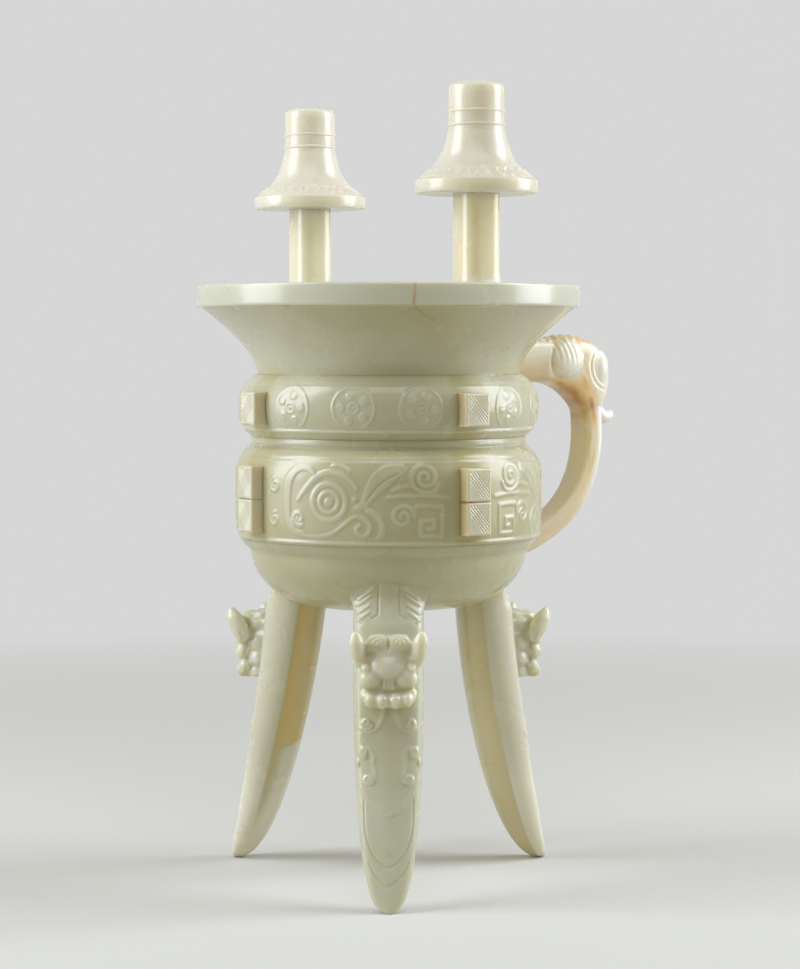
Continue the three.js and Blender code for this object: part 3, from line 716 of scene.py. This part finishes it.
legDesign = {
    "whiskers": [(1.4, 60.5), (1.7, 58.2), (2.6, 55.8), (4.3, 53.8), (6.4, 53.2), (7.9, 54.3)],
    "whorls": [((6.6, 55.8), 1.7, 0.35, 1.3, 200), ((7.6, 47.2), 1.5, 0.3, 1.3, 250),
               ((6.1, 39.2), 1.5, 0.3, 1.3, 200)],
    "tails": [[(6.2, 48.3), (5.2, 47.4), (4.6, 45.8), (4.7, 44.2)], [(4.7, 39.6), (4.2, 41.4), (4.6, 43.0)]],
    "bump": (10.4, 43.8), "tongue": [(0, 27.9), (2.6, 28.9), (5.3, 31.2), (7.6, 34.4), (9.6, 38.2)],
    "tongueRise": 0.2, "tongueFade": 0.35,
    "leaves": [[(7.4, 33.0), (7.1, 24.0), (5.2, 18.0), (2.4, 14.6), (0, 13.2)],
               [(6.0, 14.6), (3.6, 10.6), (0, 7.6)]],
    "frame": [(3.3, 99.0), (3.3, 88.4), (8.7, 85.7)],
    "chevrons": [[(5.0, 96.4), (9.8, 92.9)], [(5.8, 94.2), (10.6, 90.9)], [(6.2, 91.4), (10.4, 88.4)],
                 [(6.2, 89.4), (9.8, 86.6)]],
}
legPlaces = {  # turn, finish, then the low edge of the yellow, its slant and strength, the russet edge and the painted lightening
    "handle": (0.0, "leg_jade", (-5, 0, 0.4, 0, -1.3)),
    "left": (2 * math.pi / 3, "leg_jade", (36.8, 5.8, 0.95, 0.7, -1.1)),
    "right": (-2 * math.pi / 3, "pale_jade", (-5, 0, 0.3, 0, -0.2)),
}


def legStrokes():
    d = legDesign
    strokes = [stroke(smoothPath(path), 1.3, 0.26, 0.6) for path in [d["whiskers"]] + d["tails"]]
    strokes += [stroke(spiralPath(*whorl), 1.0, 0.44, 0.42) for whorl in d["whorls"]]
    strokes.append(dot(d["bump"], 1.3, 1.0, 0.7))
    strokes += [stroke(smoothPath(path), 0.5, -0.22, 0.25) for path in d["leaves"]]
    strokes.append(stroke(d["frame"], 0.6, -0.25, 0.25))
    return strokes + [stroke(path, 0.7, 0.42, 0.3) for path in d["chevrons"]]


def legAt(level, side):
    line = bezierPoints(np.array([leg["height"], leg["outer"], leg["inner"][side], leg["half"]]).T, 400)
    outer, inner, half = [np.interp(level, line[:, 0], line[:, column]) for column in (1, 2, 3)]
    toe = np.clip(level / leg["toeRound"], 0, 1)
    flank = outer - (outer - inner) * np.interp(level, (0, leg["height"][-1]), leg["flank"])
    return outer, inner, half * np.sqrt(1 - leg["toeBlunt"] * (1 - toe) ** 2), flank


# the bare blade: a six-sided section whose edges are rounded row by row
def legBlade(side):
    cells = [leg[part + "Cells"] for part in ("keel", "flank", "face", "face", "flank", "keel")]
    wide, rows = sum(cells), leg["rows"]
    bm, around, along = sheetGrid(wide, rows)
    level = along * (leg["height"][-1] + leg["intoBowl"])
    outer, inner, half, flank = legAt(np.minimum(level, leg["height"][-1]), side)
    crest = leg["crest"] * half / leg["half"][-1]
    crest *= 1 - leg["crestLoss"] * smoothStep(*leg["crestFade"], level)
    half = half + leg["flare"] * smoothStep(*leg["flareFade"], level) ** 2
    zero = np.zeros(level.shape)
    corners = [np.array([inner, flank, outer, outer + crest, outer, flank, inner]),
               np.array([zero, -half, -half, zero, half, half, zero])]
    column, index = np.rint(around * wide).astype(int), np.arange(len(level))
    stops = np.concatenate([[0], np.cumsum(cells)])
    span = np.clip(np.searchsorted(stops, column, side="right") - 1, 0, len(cells) - 1)
    share = (column - stops[span]) / np.array(cells)[span]
    flat = [part[span, index] * (1 - share) + part[span + 1, index] * share for part in corners]
    order = np.lexsort((column, np.rint(along * rows)))
    section = np.stack(flat, 1)[order].reshape(rows + 1, wide + 1, 2)[:, :-1]
    for _ in range(leg["roundPasses"]):
        section = section * 0.5 + 0.25 * (np.roll(section, 1, 1) + np.roll(section, -1, 1))
    section = np.concatenate([section, section[:, :1]], 1).reshape(-1, 2)
    rounded = np.empty_like(section)
    rounded[order] = section
    moveVerts(bm, np.column_stack([rounded, level]))
    return meshFrom(closeEnds(bm), side + "Leg")


# yellow on the inner faces, russet where it stops; elsewhere painted light whitens the leg, most near the foot
def legYellowAndPaintedLight(coords, keel, low, slant, amount, edge, paintedLightening):
    y, z = coords[:, 1], coords[:, 2]
    above = z - low - slant * keel + 0.5 * np.sin(1.7 * z + 0.9 * y)
    strip = (1 - smoothStep(0.15, 0.6, keel)) * smoothStep(-32, -2, above)
    blur = 2.5 - 2 * keel
    skin = smoothStep(0.0, 0.16, keel) * np.maximum(smoothStep(-blur, blur, above), strip)
    # painted light: whiter where no yellow lies, most near the foot
    white = paintedLightening * (1 + 0.9 * smoothStep(44, 14, z)) * (1 - skin)
    russet = edge * smoothStep(0.3, 0.7, keel) * np.exp(-((above - 0.6) / 1.3) ** 2)
    return amount * skin * (1 - 0.55 * smoothStep(0.3, 0.95, keel)) + white + russet


def makeLeg(side, turn, finish, skinAt):
    mesh = legBlade(side)
    coords = readVerts(mesh)
    y, z = np.abs(coords[:, 1]), coords[:, 2]
    outer, inner, half, flank = legAt(np.minimum(z, leg["height"][-1]), side)
    onFace = smoothStep(*[outer - depth for depth in leg["faceDepth"]], coords[:, 0])
    tongue = np.interp(y, *np.array(legDesign["tongue"]).T)
    detail, fade = carve(y, z, legStrokes()), legDesign["tongueFade"]
    height = detail + legDesign["tongueRise"] * (smoothStep(-fade, fade, z - tongue) - 1)
    # the face runs into the round of the bowl without an edge
    reach = np.hypot(coords[:, 0], coords[:, 1])
    wall = np.interp(z, baseLine[:, 1], baseLine[:, 0])
    limit = leg["topReach"] - leg["topRound"] * (y / half) ** 2
    held = reach - np.clip(reach - limit, 0, None) * smoothStep(*leg["topFade"], z)
    close = np.clip(1 - np.abs(wall - held) / leg["fillet"], 0, None)
    merged = np.maximum(held, wall) + leg["fillet"] / 4 * close ** 2
    merged -= leg["sink"] * smoothStep(*leg["sinkFade"], z)
    share = smoothStep(*leg["mergeFade"], z) * smoothStep(*[wall - depth for depth in leg["mergeDepth"]], reach)
    coords[:, :2] *= (1 + share * (merged / reach - 1))[:, None]
    coords[:, 0] += onFace * height * (1 - smoothStep(*leg["carveFade"], z))
    setCoords(mesh, coords)
    # painted highlight on raised carving; painted shade in cut lines, under the mask's lip and toward the bowl
    lip = np.exp(-((z - leg["lipLevel"]) / leg["lipTall"]) ** 2 - (y / leg["lipHalf"]) ** 4)
    shade = onFace * (np.clip(detail * 1.2, -0.6, 0.6) - leg["lipShade"] * lip)
    tag(mesh, "paintedLight", shade - leg["topShade"] * smoothStep(*leg["shadeFade"], z))
    keel = np.clip((flank - coords[:, 0]) / (flank - inner), 0, 1)
    tag(mesh, "stainAndPaintedLight", legYellowAndPaintedLight(coords, keel, *skinAt))
    placePiece(side + "Leg", mesh, [side + "_leg"], "pale_jade", turn, sharpAngle=60, finish=finish)


for side, place in legPlaces.items():
    makeLeg(side, *place)
print("legs: carved")

# beast masks: ears, brow scrolls, muzzle, cheeks and lips on a plate that stands off the leg
mask = {
    "voxel": 0.26, "passes": 20,
    "blocks": [((46.2, 0, 71.4), (11.4, 13.2, 19.4)), ((47.0, 0, 71.0), (11.2, 14.4, 11.0)),
               ((48.4, 0, 80.8), (7.4, 11.6, 4.4)), ((49.4, 0, 68.6), (8.0, 3.7, 3.6))],
    "muzzle": [(51.2, 0, 76.3), (51.6, 0, 74.6), (51.7, 0, 72.8), (51.3, 0, 71.4)],
    "muzzleSizes": [(2.6, 5.4, 1.9), (3.2, 5.7, 2.4), (3.5, 5.4, 2.3), (3.0, 4.4, 1.9)],
    "ear": [(50.4, 8.8, 75.4), (51.4, 9.3, 78.4), (52.6, 9.7, 81.2), (53.6, 10.0, 83.6)],
    "earSizes": [(2.4, 2.0, 2.2), (3.3, 2.5, 2.6), (2.9, 2.5, 2.4), (1.5, 1.5, 1.4)],
    "lip": [(50.4, 7.6, 65.6), (51.2, 6.0, 64.2), (51.6, 3.4, 63.6), (51.6, 0, 63.5)],
    "lipSizes": [(2.0, 1.2, 1.8), (2.4, 1.9, 2.2), (2.5, 2.2, 2.4), (2.5, 2.2, 2.4)],
    "pairs": [((49.4, 0.4, 75.6), (4.2, 7.4, 6.0)), ((50.2, 3.2, 80.8), (3.2, 3.7, 2.9)),
              ((50.6, 7.8, 76.0), (2.5, 1.9, 2.8)), ((51.3, 5.3, 70.3), (3.2, 3.7, 3.4)),
              ((52.7, 6.9, 73.4), (1.5, 1.4, 1.4)), ((52.7, 1.95, 63.5), (2.5, 1.95, 2.6)),
              ((52.2, 5.6, 63.9), (2.5, 1.9, 2.5))],
    "gap": [(0, 66.5), (4.4, 66.6), (7.2, 67.4)], "gapWide": (1.7, 1.3, 0.7), "gapDeep": -0.35,
    "split": [(0, 79.2), (0, 83.2)], "browCurl": ((3.3, 80.9), 1.9, 0.4, 1.6, 20),
    "eyeRing": ((6.9, 73.4), 0.8), "teeth": (0.55, 1.9), "toothTall": (70.0, 67.2),
    "sideLine": [(50.0, 62.6), (49.0, 66.0), (49.8, 69.5), (48.9, 73.0), (49.6, 76.8)],
    "sideKnobs": [(46.8, 79.4), (46.3, 73.0), (46.2, 67.8), (46.6, 63.4)],
    "faceTurn": (0.3, 0.7), "sideTurn": (0.4, 0.8),
    "hollowBack": (49.0, 51.0), "hollowFront": (53.4, 51.8), "hollowSide": (8.2, 6.6), "browFade": (77.6, 79.0),
    "highlightFront": (53.2, 54.6), "earSide": (7.2, 8.6), "whiteHighlightFront": (53.6, 54.8),
}


def maskStrokes():
    top, foot = mask["toothTall"]
    strokes = [stroke(smoothPath(mask["gap"]), mask["gapWide"], mask["gapDeep"], 0.6),
               stroke(mask["split"], 0.5, -0.5, 0.3),
               stroke(spiralPath(*mask["browCurl"]), 0.5, -0.34, 0.28),
               ring(*mask["eyeRing"], 0.3, -0.2, 0.2)]
    return strokes + [stroke([(y, top), (y, foot)], 0.4, -0.3, 0.25) for y in mask["teeth"]]


def maskSideStrokes():
    strokes = [stroke(smoothPath(mask["sideLine"]), 0.6, -0.5, 0.5)]
    return strokes + [dot(place, 1.7, 0.8, 1.0) for place in mask["sideKnobs"]]


def makeMasks():
    bm = bmesh.new()
    for centre, sizes in mask["blocks"]:
        block(bm, centre, sizes)
    trail(bm, mask["muzzle"], mask["muzzleSizes"], 8)
    for side in (-1, 1):
        for centre, radii in mask["pairs"]:
            blob(bm, (centre[0], side * centre[1], centre[2]), radii)
        for name in ("lip", "ear"):
            trail(bm, [(x, side * y, z) for x, y, z in mask[name]], mask[name + "Sizes"], 6)
    carved = skinned(bm, "mask", mask["voxel"], mask["passes"])
    coords, normals = readVerts(carved), readVerts(carved, "normal")
    x, y, z = coords.T
    x += carve(np.abs(y), z, maskStrokes()) * smoothStep(*mask["faceTurn"], normals[:, 0])
    y += np.sign(y) * carve(x, z, maskSideStrokes()) * smoothStep(*mask["sideTurn"], np.abs(normals[:, 1]))
    setCoords(carved, coords)
    across = np.abs(y)
    # painted shade in the hollows behind the face; painted highlight on the forward-most parts; the ears whiter
    hollowShade = smoothStep(*mask["hollowFront"], x) * smoothStep(*mask["hollowSide"], across)
    hollowShade *= smoothStep(*mask["hollowBack"], x) * (1 - 0.8 * smoothStep(*mask["browFade"], z))
    tag(carved, "paintedLight", 0.8 * smoothStep(*mask["highlightFront"], x) - hollowShade)
    tag(carved, "stainAndPaintedLight", -0.7 * smoothStep(*mask["earSide"], across) - 0.3 * smoothStep(*mask["whiteHighlightFront"], x))
    for side, (turn, *_) in legPlaces.items():
        placePiece(side + "Mask", carved.copy(), [side + "_leg_mask"], "pale_jade", turn, 180, "mask_jade")
    bpy.data.meshes.remove(carved)


makeMasks()
print("masks: carved")

# posts: rounded square shafts that straddle the inner edge of the lip
post = {"centre": 52.8, "side": 12.8, "squareness": 0.68, "top": 216.6, "filletTall": 1.1, "filletWide": 0.9,
        "around": 72, "along": 60, "rowPower": 1.5, "sink": 1.6}


def makePost(side, turn, warmth):
    bm, around, along = sheetGrid(post["around"], post["along"])
    half = post["side"] / 2
    x, y = [half * part for part in squarish(around, post["squareness"])]
    mouth = bezierPoints([(bowl["rim"] - bowl["lipWidth"], bowl["rimLevel"]),
                          (bowl["bore"], bowl["neckLevel"] + bowl["flareRise"]),
                          (bowl["bore"], bowl["neckLevel"])], 60)[::-1]
    seat = np.interp(np.hypot(post["centre"] + x, y), mouth[:, 0], mouth[:, 1])
    rise = (post["top"] - seat + post["sink"]) * along ** post["rowPower"]
    grow = 1 + post["filletWide"] / half * np.exp(-np.clip(rise - post["sink"], 0, None) / post["filletTall"])
    moveVerts(bm, np.stack([post["centre"] + x * grow, y * grow, seat - post["sink"] + rise], 1))
    mesh = meshFrom(closeEnds(bm), side + "Post")
    coords = readVerts(mesh)
    tag(mesh, "stainAndPaintedLight", warmth * (0.6 + 0.4 * np.sin(coords[:, 2] * 0.21 + coords[:, 1] * 0.3)))
    placePiece(side + "Post", mesh, [side + "_post"], "cream_jade", turn, sharpAngle=60, finish="post_jade")


# caps: bells with a flat brim, a scroll border, two ribs and a lobed top
cap = {
    "foot": 216.2, "steps": 320, "centre": 52.8,
    "brim": [(0.0, 0.0), (9.0, 0.0), (18.2, 0.0), (18.5, 0.1), (18.6, 0.4), (18.6, 2.0)],
    "outline": [(18.6, 3.6), (18.5, 3.85), (17.6, 4.35), (16.3, 5.3), (14.5, 6.9), (12.8, 8.7), (11.5, 10.5),
                (10.55, 12.3), (9.85, 14.2), (9.3, 16.0), (8.85, 17.8), (8.55, 18.9), (8.4, 20.0)],
    "ribs": (20.6, 24.7), "crown": 8.35, "ribProud": 0.42, "ribHalf": 0.5,
    "head": [(8.35, 27.5), (8.35, 29.5), (8.35, 32.0), (8.23, 32.2), (7.4, 32.95), (7.0, 33.05)],
    "topReach": (6.6, 0.6), "topRings": 14, "top": 33.1,
    "lobes": 4, "lobeRise": 0.75, "lobeReach": 6.4, "lobeTurn": 0.6, "lobePower": 0.7,
    "borderCount": 12, "borderRise": 0.32, "borderRadius": 15.3, "borderSpan": (4.2, 9),
    "borderRing": (-1.4, 5.9),
    "borderHook": [(0.4, 6.9), (1.6, 7.2), (2.8, 6.4), (2.6, 5.2), (1.5, 5.0)],
}


def capProfile():
    points = [np.array(cap["brim"]), smoothPath(cap["outline"], 5)[:-1]]
    share = np.linspace(0, math.pi, 7)
    for rib in cap["ribs"]:
        points.append(np.stack([cap["crown"] + cap["ribProud"] * np.sin(share),
                                rib - cap["ribHalf"] * np.cos(share)], 1))
    rings = np.append(np.linspace(*cap["topReach"], cap["topRings"]), 0.0)
    return np.vstack(points + [cap["head"], np.stack([rings, np.full(len(rings), cap["top"])], 1)])


def makeCap(side, turn, warmth):
    mesh = meshFrom(spun(capProfile(), cap["steps"]), side + "Cap")
    coords = readVerts(mesh)
    radius = np.hypot(coords[:, 0], coords[:, 1])
    angle = np.arctan2(coords[:, 1], coords[:, 0])
    swell = np.sin(np.clip(radius / cap["lobeReach"], 0, 1) * math.pi) ** cap["lobePower"]
    lobes = (0.55 + 0.45 * np.cos(cap["lobes"] * angle + cap["lobeTurn"])) * np.nan_to_num(swell)
    coords[:, 2] += np.where(coords[:, 2] > cap["top"] - 0.1, cap["lobeRise"] * lobes, 0)
    pitch = 2 * math.pi / cap["borderCount"]
    arc = ((angle + pitch / 2) % pitch - pitch / 2) * cap["borderRadius"]
    border = carve(arc, coords[:, 2], [ring(cap["borderRing"], 1.15, 0.6, 1.0, 0.25),
                                       stroke(smoothPath(cap["borderHook"]), 0.6, 1.0, 0.25)])
    low, high = cap["borderSpan"]
    border *= (coords[:, 2] < high) & (coords[:, 2] > low)
    coords[:, 2] += cap["borderRise"] * border
    coords[:, :2] *= (1 + cap["borderRise"] * 0.5 * border / np.maximum(radius, 1))[:, None]
    setCoords(mesh, coords + np.array([cap["centre"], 0, cap["foot"]]))
    # painted highlight on the raised border
    tag(mesh, "paintedLight", border * 0.5)
    tag(mesh, "stainAndPaintedLight", np.full(len(coords), warmth))
    placePiece(side + "Cap", mesh, [side + "_post_cap"], "cream_jade", turn, sharpAngle=35)


postWarmth = {"left": (-0.4, -0.2), "right": (0.2, 0.0)}
for side, turn in (("left", math.pi / 2), ("right", -math.pi / 2)):
    shaftWarmth, capWarmth = postWarmth[side]
    makePost(side, turn, shaftWarmth)
    makeCap(side, turn, capWarmth)
print("posts and caps: set")

# handle: a beast's head on an arm, with the strap coming out of its mouth
strap = {"line": [(76.0, 148.6), (78.4, 127.3), (70.4, 109.8), (38.3, 102.3)],
         "intoHead": [(74.6, 156.0), (75.6, 152.2), (76.0, 148.6)],
         "wide": 11.4, "thick": 7.2, "corner": 0.5, "around": 72, "along": 180,
         "footShade": 0.8, "footFade": (126, 108)}
strapLine = np.vstack([bezierPoints(strap["intoHead"], 40)[:-1], bezierPoints(strap["line"], 400)])


# golden skin on the inner side of the handle, a brown streak down its middle, the outer side white
def handleStain(coords):
    r, y, z = coords.T
    share = nearPath(r, z, strapLine[::8])[1]
    inner = np.interp(share, np.linspace(0, 1, len(strapLine)), strapLine[:, 0]) - r
    fade = 1 - smoothStep(0.42, 0.72, share)
    gold = 0.3 * smoothStep(-0.9, 0.7, inner) * (0.15 + 0.85 * fade)
    streak = 1.1 * np.exp(-((inner - 0.1 - 0.8 * np.sin(0.21 * z + 0.5)) / 0.6) ** 2)
    streak *= 1 - smoothStep(0.28, 0.5, share)
    streak += 0.7 * np.exp(-((inner - 1.7 - 0.6 * np.sin(0.33 * z)) / 0.35) ** 2) * fade
    throat = 0.8 * smoothStep(143, 150, z) * smoothStep(-0.5, 1.6, inner)
    white = 1.2 * smoothStep(0.2, -1.6, inner) * (0.25 + 0.75 * fade)
    return gold + streak + throat - white


def makeStrap():
    bm, around, along = sheetGrid(strap["around"], strap["along"])
    slope = np.gradient(strapLine, axis=0)
    slope /= np.hypot(slope[:, 0], slope[:, 1])[:, None]
    run = np.concatenate([[0], np.cumsum(np.hypot(*np.diff(strapLine, axis=0).T))])
    r, z, dr, dz = [np.interp(along * run[-1], run, line) for line in (*strapLine.T, *slope.T)]
    out, y = squarish(around, strap["corner"])
    out, y = out * strap["thick"] / 2, y * strap["wide"] / 2
    moveVerts(bm, np.stack([r - out * dz, y, z + out * dr], 1))
    mesh = meshFrom(closeEnds(bm), "handleStrap")
    coords = readVerts(mesh)
    tag(mesh, "stainAndPaintedLight", handleStain(coords))
    tag(mesh, "paintedLight", -strap["footShade"] * smoothStep(*strap["footFade"], coords[:, 2]))
    placePiece("handleStrap", mesh, ["handle_strap"], "russet_jade", sharpAngle=70)


makeStrap()

head = {
    "top": [(40, 172.4), (54, 172.8), (66, 173.0), (74, 172.4), (79.8, 168.6), (82.6, 162.2), (82.0, 155.4),
            (80.0, 150.6), (78.2, 146.6)],
    "under": [(40, 158.6), (50, 158.5), (58, 158.2), (64, 156.4), (68.0, 153.6), (70.4, 151.2), (71.6, 149.6),
              (72.4, 147.8), (73.8, 145.6)],
    "half": (6.9, 7.0, 7.1, 7.2, 7.0, 6.5, 6.0, 5.5, 4.8), "corner": 0.56,
    "around": 64, "along": 60, "voxel": 0.34, "passes": 5,
    "crest": ((66.2, 0, 171.9), (7.6, 6.0, 2.2)),
    "pairs": [((64.2, 5.7, 166.0), (7.2, 3.3, 6.8)), ((78.0, 4.2, 163.0), (3.8, 3.1, 6.4))],
    "curl": [(78.6, 150.5), (80.5, 148.4), (82.5, 146.9), (84.3, 146.6), (85.3, 147.4)],
    "curlSizes": (2.7, 2.7, 2.4, 2.1, 1.9),
    "ribs": 6, "ribPitch": 1.9, "ribPlace": (59.8, 172.0),
    "lobe": [(58.4, 169.4), (57.8, 165.0), (58.9, 161.4), (62.2, 159.6), (66.4, 160.6), (69.6, 163.6),
             (71.0, 167.2)],
    "lobeMiddle": (64.3, 166), "lobeRings": (0.84, 0.7),
    "plate": [(75.6, 169.0), (73.9, 166.8), (73.4, 163.4), (74.6, 159.6), (77.2, 156.8), (79.4, 156.0)],
    "plateMiddle": (78.2, 163.4), "plateRing": (0.66, 0.74),
    "scales": 11, "scalePlace": (66.8, 158.8), "scalePitch": (0.95, -0.55), "scaleSize": (1.6, 2.0),
    "crust": 0.3, "crustFade": (171.4, 172.4), "crustEnd": 72, "sideTurn": (0.3, 0.65), "armEnd": (55, 60),
}


def shrunk(points, middle, across, up):
    return [(middle[0] + (r - middle[0]) * across, middle[1] + (z - middle[1]) * up) for r, z in points]


def headStrokes():
    strokes = []
    first, top = head["ribPlace"]
    for number in range(head["ribs"]):  # ribs of the ear lobe, fading downward
        r, lean = first + head["ribPitch"] * number, 0.1 * number
        rib = [(r - 0.9, top), (r, top - 2.6), (r + 0.5 + lean, top - 5.4), (r + 0.8 + lean, top - 8.4)]
        strokes.append(stroke(smoothPath(rib), (0.5, 0.45, 0.3, -0.9), -0.34, 0.7))
    strokes.append(stroke(smoothPath(head["lobe"]), (0.5, 0.8, 0.9, 0.8, 0.5), -0.32, 0.5))
    for size in head["lobeRings"]:
        inner = shrunk(head["lobe"][2:5], head["lobeMiddle"], size, size)
        strokes.append(stroke(smoothPath(inner), (0.2, 0.4, 0.2), -0.16, 0.3))
    strokes.append(stroke(smoothPath(head["plate"]), (0.4, 0.6, 0.6, 0.3), -0.26, 0.35))
    inner = shrunk(head["plate"], head["plateMiddle"], *head["plateRing"])
    strokes.append(stroke(smoothPath(inner), (0.3, 0.45, 0.2), -0.2, 0.3))
    place, pitch, size = [np.array(head[name]) for name in ("scalePlace", "scalePitch", "scaleSize")]
    for number in range(head["scales"]):  # scales on the cheek
        start = place + pitch * number
        strokes.append(stroke([start, start + size], 0.28, -0.1, 0.2))
    return strokes


def roundPatch(r, z, middle, reach):
    return ((r - middle[0]) / reach[0]) ** 2 + ((z - middle[1]) / reach[1]) ** 2


# warm jaw, throat seam, crest and cheek; white ear lobe, face and snout
def headStain(coords, arm):
    r, z = coords[:, 0], coords[:, 2]
    lobe = np.exp(-roundPatch(r, z, (64.4, 166), (6.6, 6.2)) ** 2)
    face = np.exp(-roundPatch(r, z, (79.0, 162.5), (4.6, 7.4)) ** 2)
    cheek = np.exp(-roundPatch(r, z, (71.6, 163.5), (2.6, 6.5)))
    snout = smoothStep(78.4, 80.6, r) * smoothStep(154, 151, z)
    jaw = smoothStep(162.5, 157.5, z + 0.45 * (r - 70)) * smoothStep(56, 63, r)
    throat = nearPath(r, z, smoothPath(head["under"], 6))[0]
    seam = np.exp(-((throat - 0.6 + 0.4 * np.sin(r)) / 1.5) ** 2)
    seam *= smoothStep(57, 63, r) * smoothStep(148.5, 152, z)
    warm = (0.8 * jaw + 0.9 * seam) * (1 - smoothStep(75.2, 78.7, r))
    warm = np.maximum(warm, handleStain(coords) * smoothStep(157, 151, z)) * (1 - 0.7 * face)
    warm = np.maximum(warm, 0.9 * smoothStep(170.4, 172.2, z) * (r < 77))
    warm += (0.9 + 0.4 * np.sin(1.9 * r + 1.1 * z)) * cheek
    return warm * (1 - lobe) * (1 - 0.8 * arm) - 1.4 * lobe - 0.2 * arm - 1.3 * face - 1.5 * snout


def makeHead():
    bm, around, along = sheetGrid(head["around"], head["along"])
    lines = [smoothPath(head[name], 12) for name in ("top", "under")]
    lines.append(np.repeat(smoothPath([(value, 0) for value in head["half"]], 12)[:, :1], 2, 1))
    at, index = along * (len(lines[0]) - 1), np.arange(len(lines[0]))
    top, under, half = [np.stack([np.interp(at, index, line[:, axis]) for axis in (0, 1)], 1) for line in lines]
    across, lift = squarish(around, head["corner"])
    flat = (top + under) / 2 + (top - under) / 2 * lift[:, None]
    moveVerts(bm, np.stack([flat[:, 0], half[:, 0] * across, flat[:, 1]], 1))
    closeEnds(bm)
    blob(bm, *head["crest"])
    for side in (-1, 1):
        for centre, radii in head["pairs"]:
            blob(bm, (centre[0], side * centre[1], centre[2]), radii)
    trail(bm, [(r, 0, z) for r, z in head["curl"]], list(head["curlSizes"]), 6)
    mesh = skinned(bm, "handleHead", head["voxel"], head["passes"])
    coords, normals = readVerts(mesh), readVerts(mesh, "normal")
    r, y, z = coords.T
    height = carve(r, z, headStrokes()) * smoothStep(*head["sideTurn"], np.abs(normals[:, 1]))
    crust = np.sin(r * 2.1 + y) * np.sin(y * 1.7 + 0.4) * (r < head["crustEnd"])
    crust *= smoothStep(*head["crustFade"], z)
    setCoords(mesh, coords + normals * (height + head["crust"] * crust)[:, None])
    arm = 1 - smoothStep(*head["armEnd"], r)
    # painted shade in the cut lines and on the arm's lower side
    tag(mesh, "paintedLight", np.clip(height * 0.9, -0.6, 0.5) - arm * smoothStep(169, 162, z))
    tag(mesh, "stainAndPaintedLight", headStain(coords, arm))
    placePiece("handleHead", mesh, ["handle_head"], "russet_jade", sharpAngle=180)


makeHead()
print("handle: head and strap")

# floor, world and soft studio light, in metres and watts
studio = {
    "floorSize": 8.0, "floorTone": srgb(226, 226, 224), "floorBounce": srgb(196, 191, 172), "fade": (0.2, 0.7),
    "floorRoughness": 0.75, "floorShine": 0.2, "backTone": srgb(214, 215, 214),
    "worldLight": 0.225, "worldTone": (1.0, 0.93, 0.6, 1), "panelTone": (0.92, 0.96, 1.04), "aimHeight": 0.14,
    "panels": [
        {"name": "leftPanel", "azimuth": -109, "height": 0.5, "far": 0.8, "size": (0.5, 0.9), "watts": 6.5},
        {"name": "rightPanel", "azimuth": 64, "height": 0.5, "far": 0.8, "size": (0.5, 0.9), "watts": 7.1},
        {"name": "topPanel", "azimuth": -30, "height": 0.9, "far": 0.45, "size": (0.6, 0.5), "watts": 1.4},
    ],
}


# rays that see the plain background: the camera's own, and those that a surface mirrors or lets through
def seeingRays(tree):
    rays = addNode(tree, "ShaderNodeLightPath").outputs
    seeing = sums(tree, "MAXIMUM", rays["Is Camera Ray"], rays["Is Glossy Ray"])
    return sums(tree, "MAXIMUM", seeing, rays["Is Transmission Ray"])


def addFloor():
    bm = bmesh.new()
    bmesh.ops.create_grid(bm, x_segments=1, y_segments=1, size=studio["floorSize"] / 2)
    mesh = meshFrom(bm, "floor")
    material = bpy.data.materials.new("floorPaper")
    material.use_nodes = True
    tree = material.node_tree
    shader = tree.nodes["Principled BSDF"]
    shader.inputs["Roughness"].default_value = studio["floorRoughness"]
    shader.inputs["Specular IOR Level"].default_value = studio["floorShine"]
    # far from the vessel the floor runs into the plain background
    place = addNode(tree, "ShaderNodeTexCoord").outputs["Object"]
    away = vectorMath(tree, "LENGTH", {0: place}, "Value")
    seeing = seeingRays(tree)
    tone = mixColor(tree, seeing, studio["floorBounce"], studio["floorTone"])
    tree.links.new(tone, shader.inputs["Base Color"])
    far = sums(tree, "MULTIPLY", mapRange(tree, away, *studio["fade"]), seeing)
    glow = addNode(tree, "ShaderNodeEmission", {"Color": studio["backTone"], "Strength": 1.0})
    mix = addNode(tree, "ShaderNodeMixShader", {0: far, 1: shader.outputs[0], 2: glow.outputs[0]})
    tree.links.new(mix.outputs[0], tree.nodes["Material Output"].inputs["Surface"])
    mesh.materials.append(material)
    floor = bpy.data.objects.new("floor", mesh)
    scene.collection.objects.link(floor)


def addLight():
    world = bpy.data.worlds.new("studioWorld")
    world.use_nodes = True
    tree = world.node_tree
    light = tree.nodes["Background"]
    light.inputs["Color"].default_value = studio["worldTone"]
    light.inputs["Strength"].default_value = studio["worldLight"]
    back = addNode(tree, "ShaderNodeBackground", {"Color": studio["backTone"], "Strength": 1.0})
    mix = addNode(tree, "ShaderNodeMixShader", {0: seeingRays(tree), 1: light.outputs[0], 2: back.outputs[0]})
    tree.links.new(mix.outputs[0], tree.nodes["World Output"].inputs["Surface"])
    scene.world = world
    middle = Vector((axisX * mm, 0, studio["aimHeight"]))
    for panel in studio["panels"]:
        data = bpy.data.lights.new(panel["name"], "AREA")
        data.shape, data.energy, data.color = "RECTANGLE", panel["watts"], studio["panelTone"]
        data.size, data.size_y = panel["size"]
        lamp = bpy.data.objects.new(panel["name"], data)
        turn, far = math.radians(panel["azimuth"]), panel["far"]
        lamp.location = (middle.x + math.sin(turn) * far, -math.cos(turn) * far, panel["height"])
        lamp.rotation_euler = (middle - lamp.location).to_track_quat("-Z", "Y").to_euler()
        scene.collection.objects.link(lamp)


addFloor()
addLight()
scene.view_settings.view_transform = "Standard"
print("studio: lit")
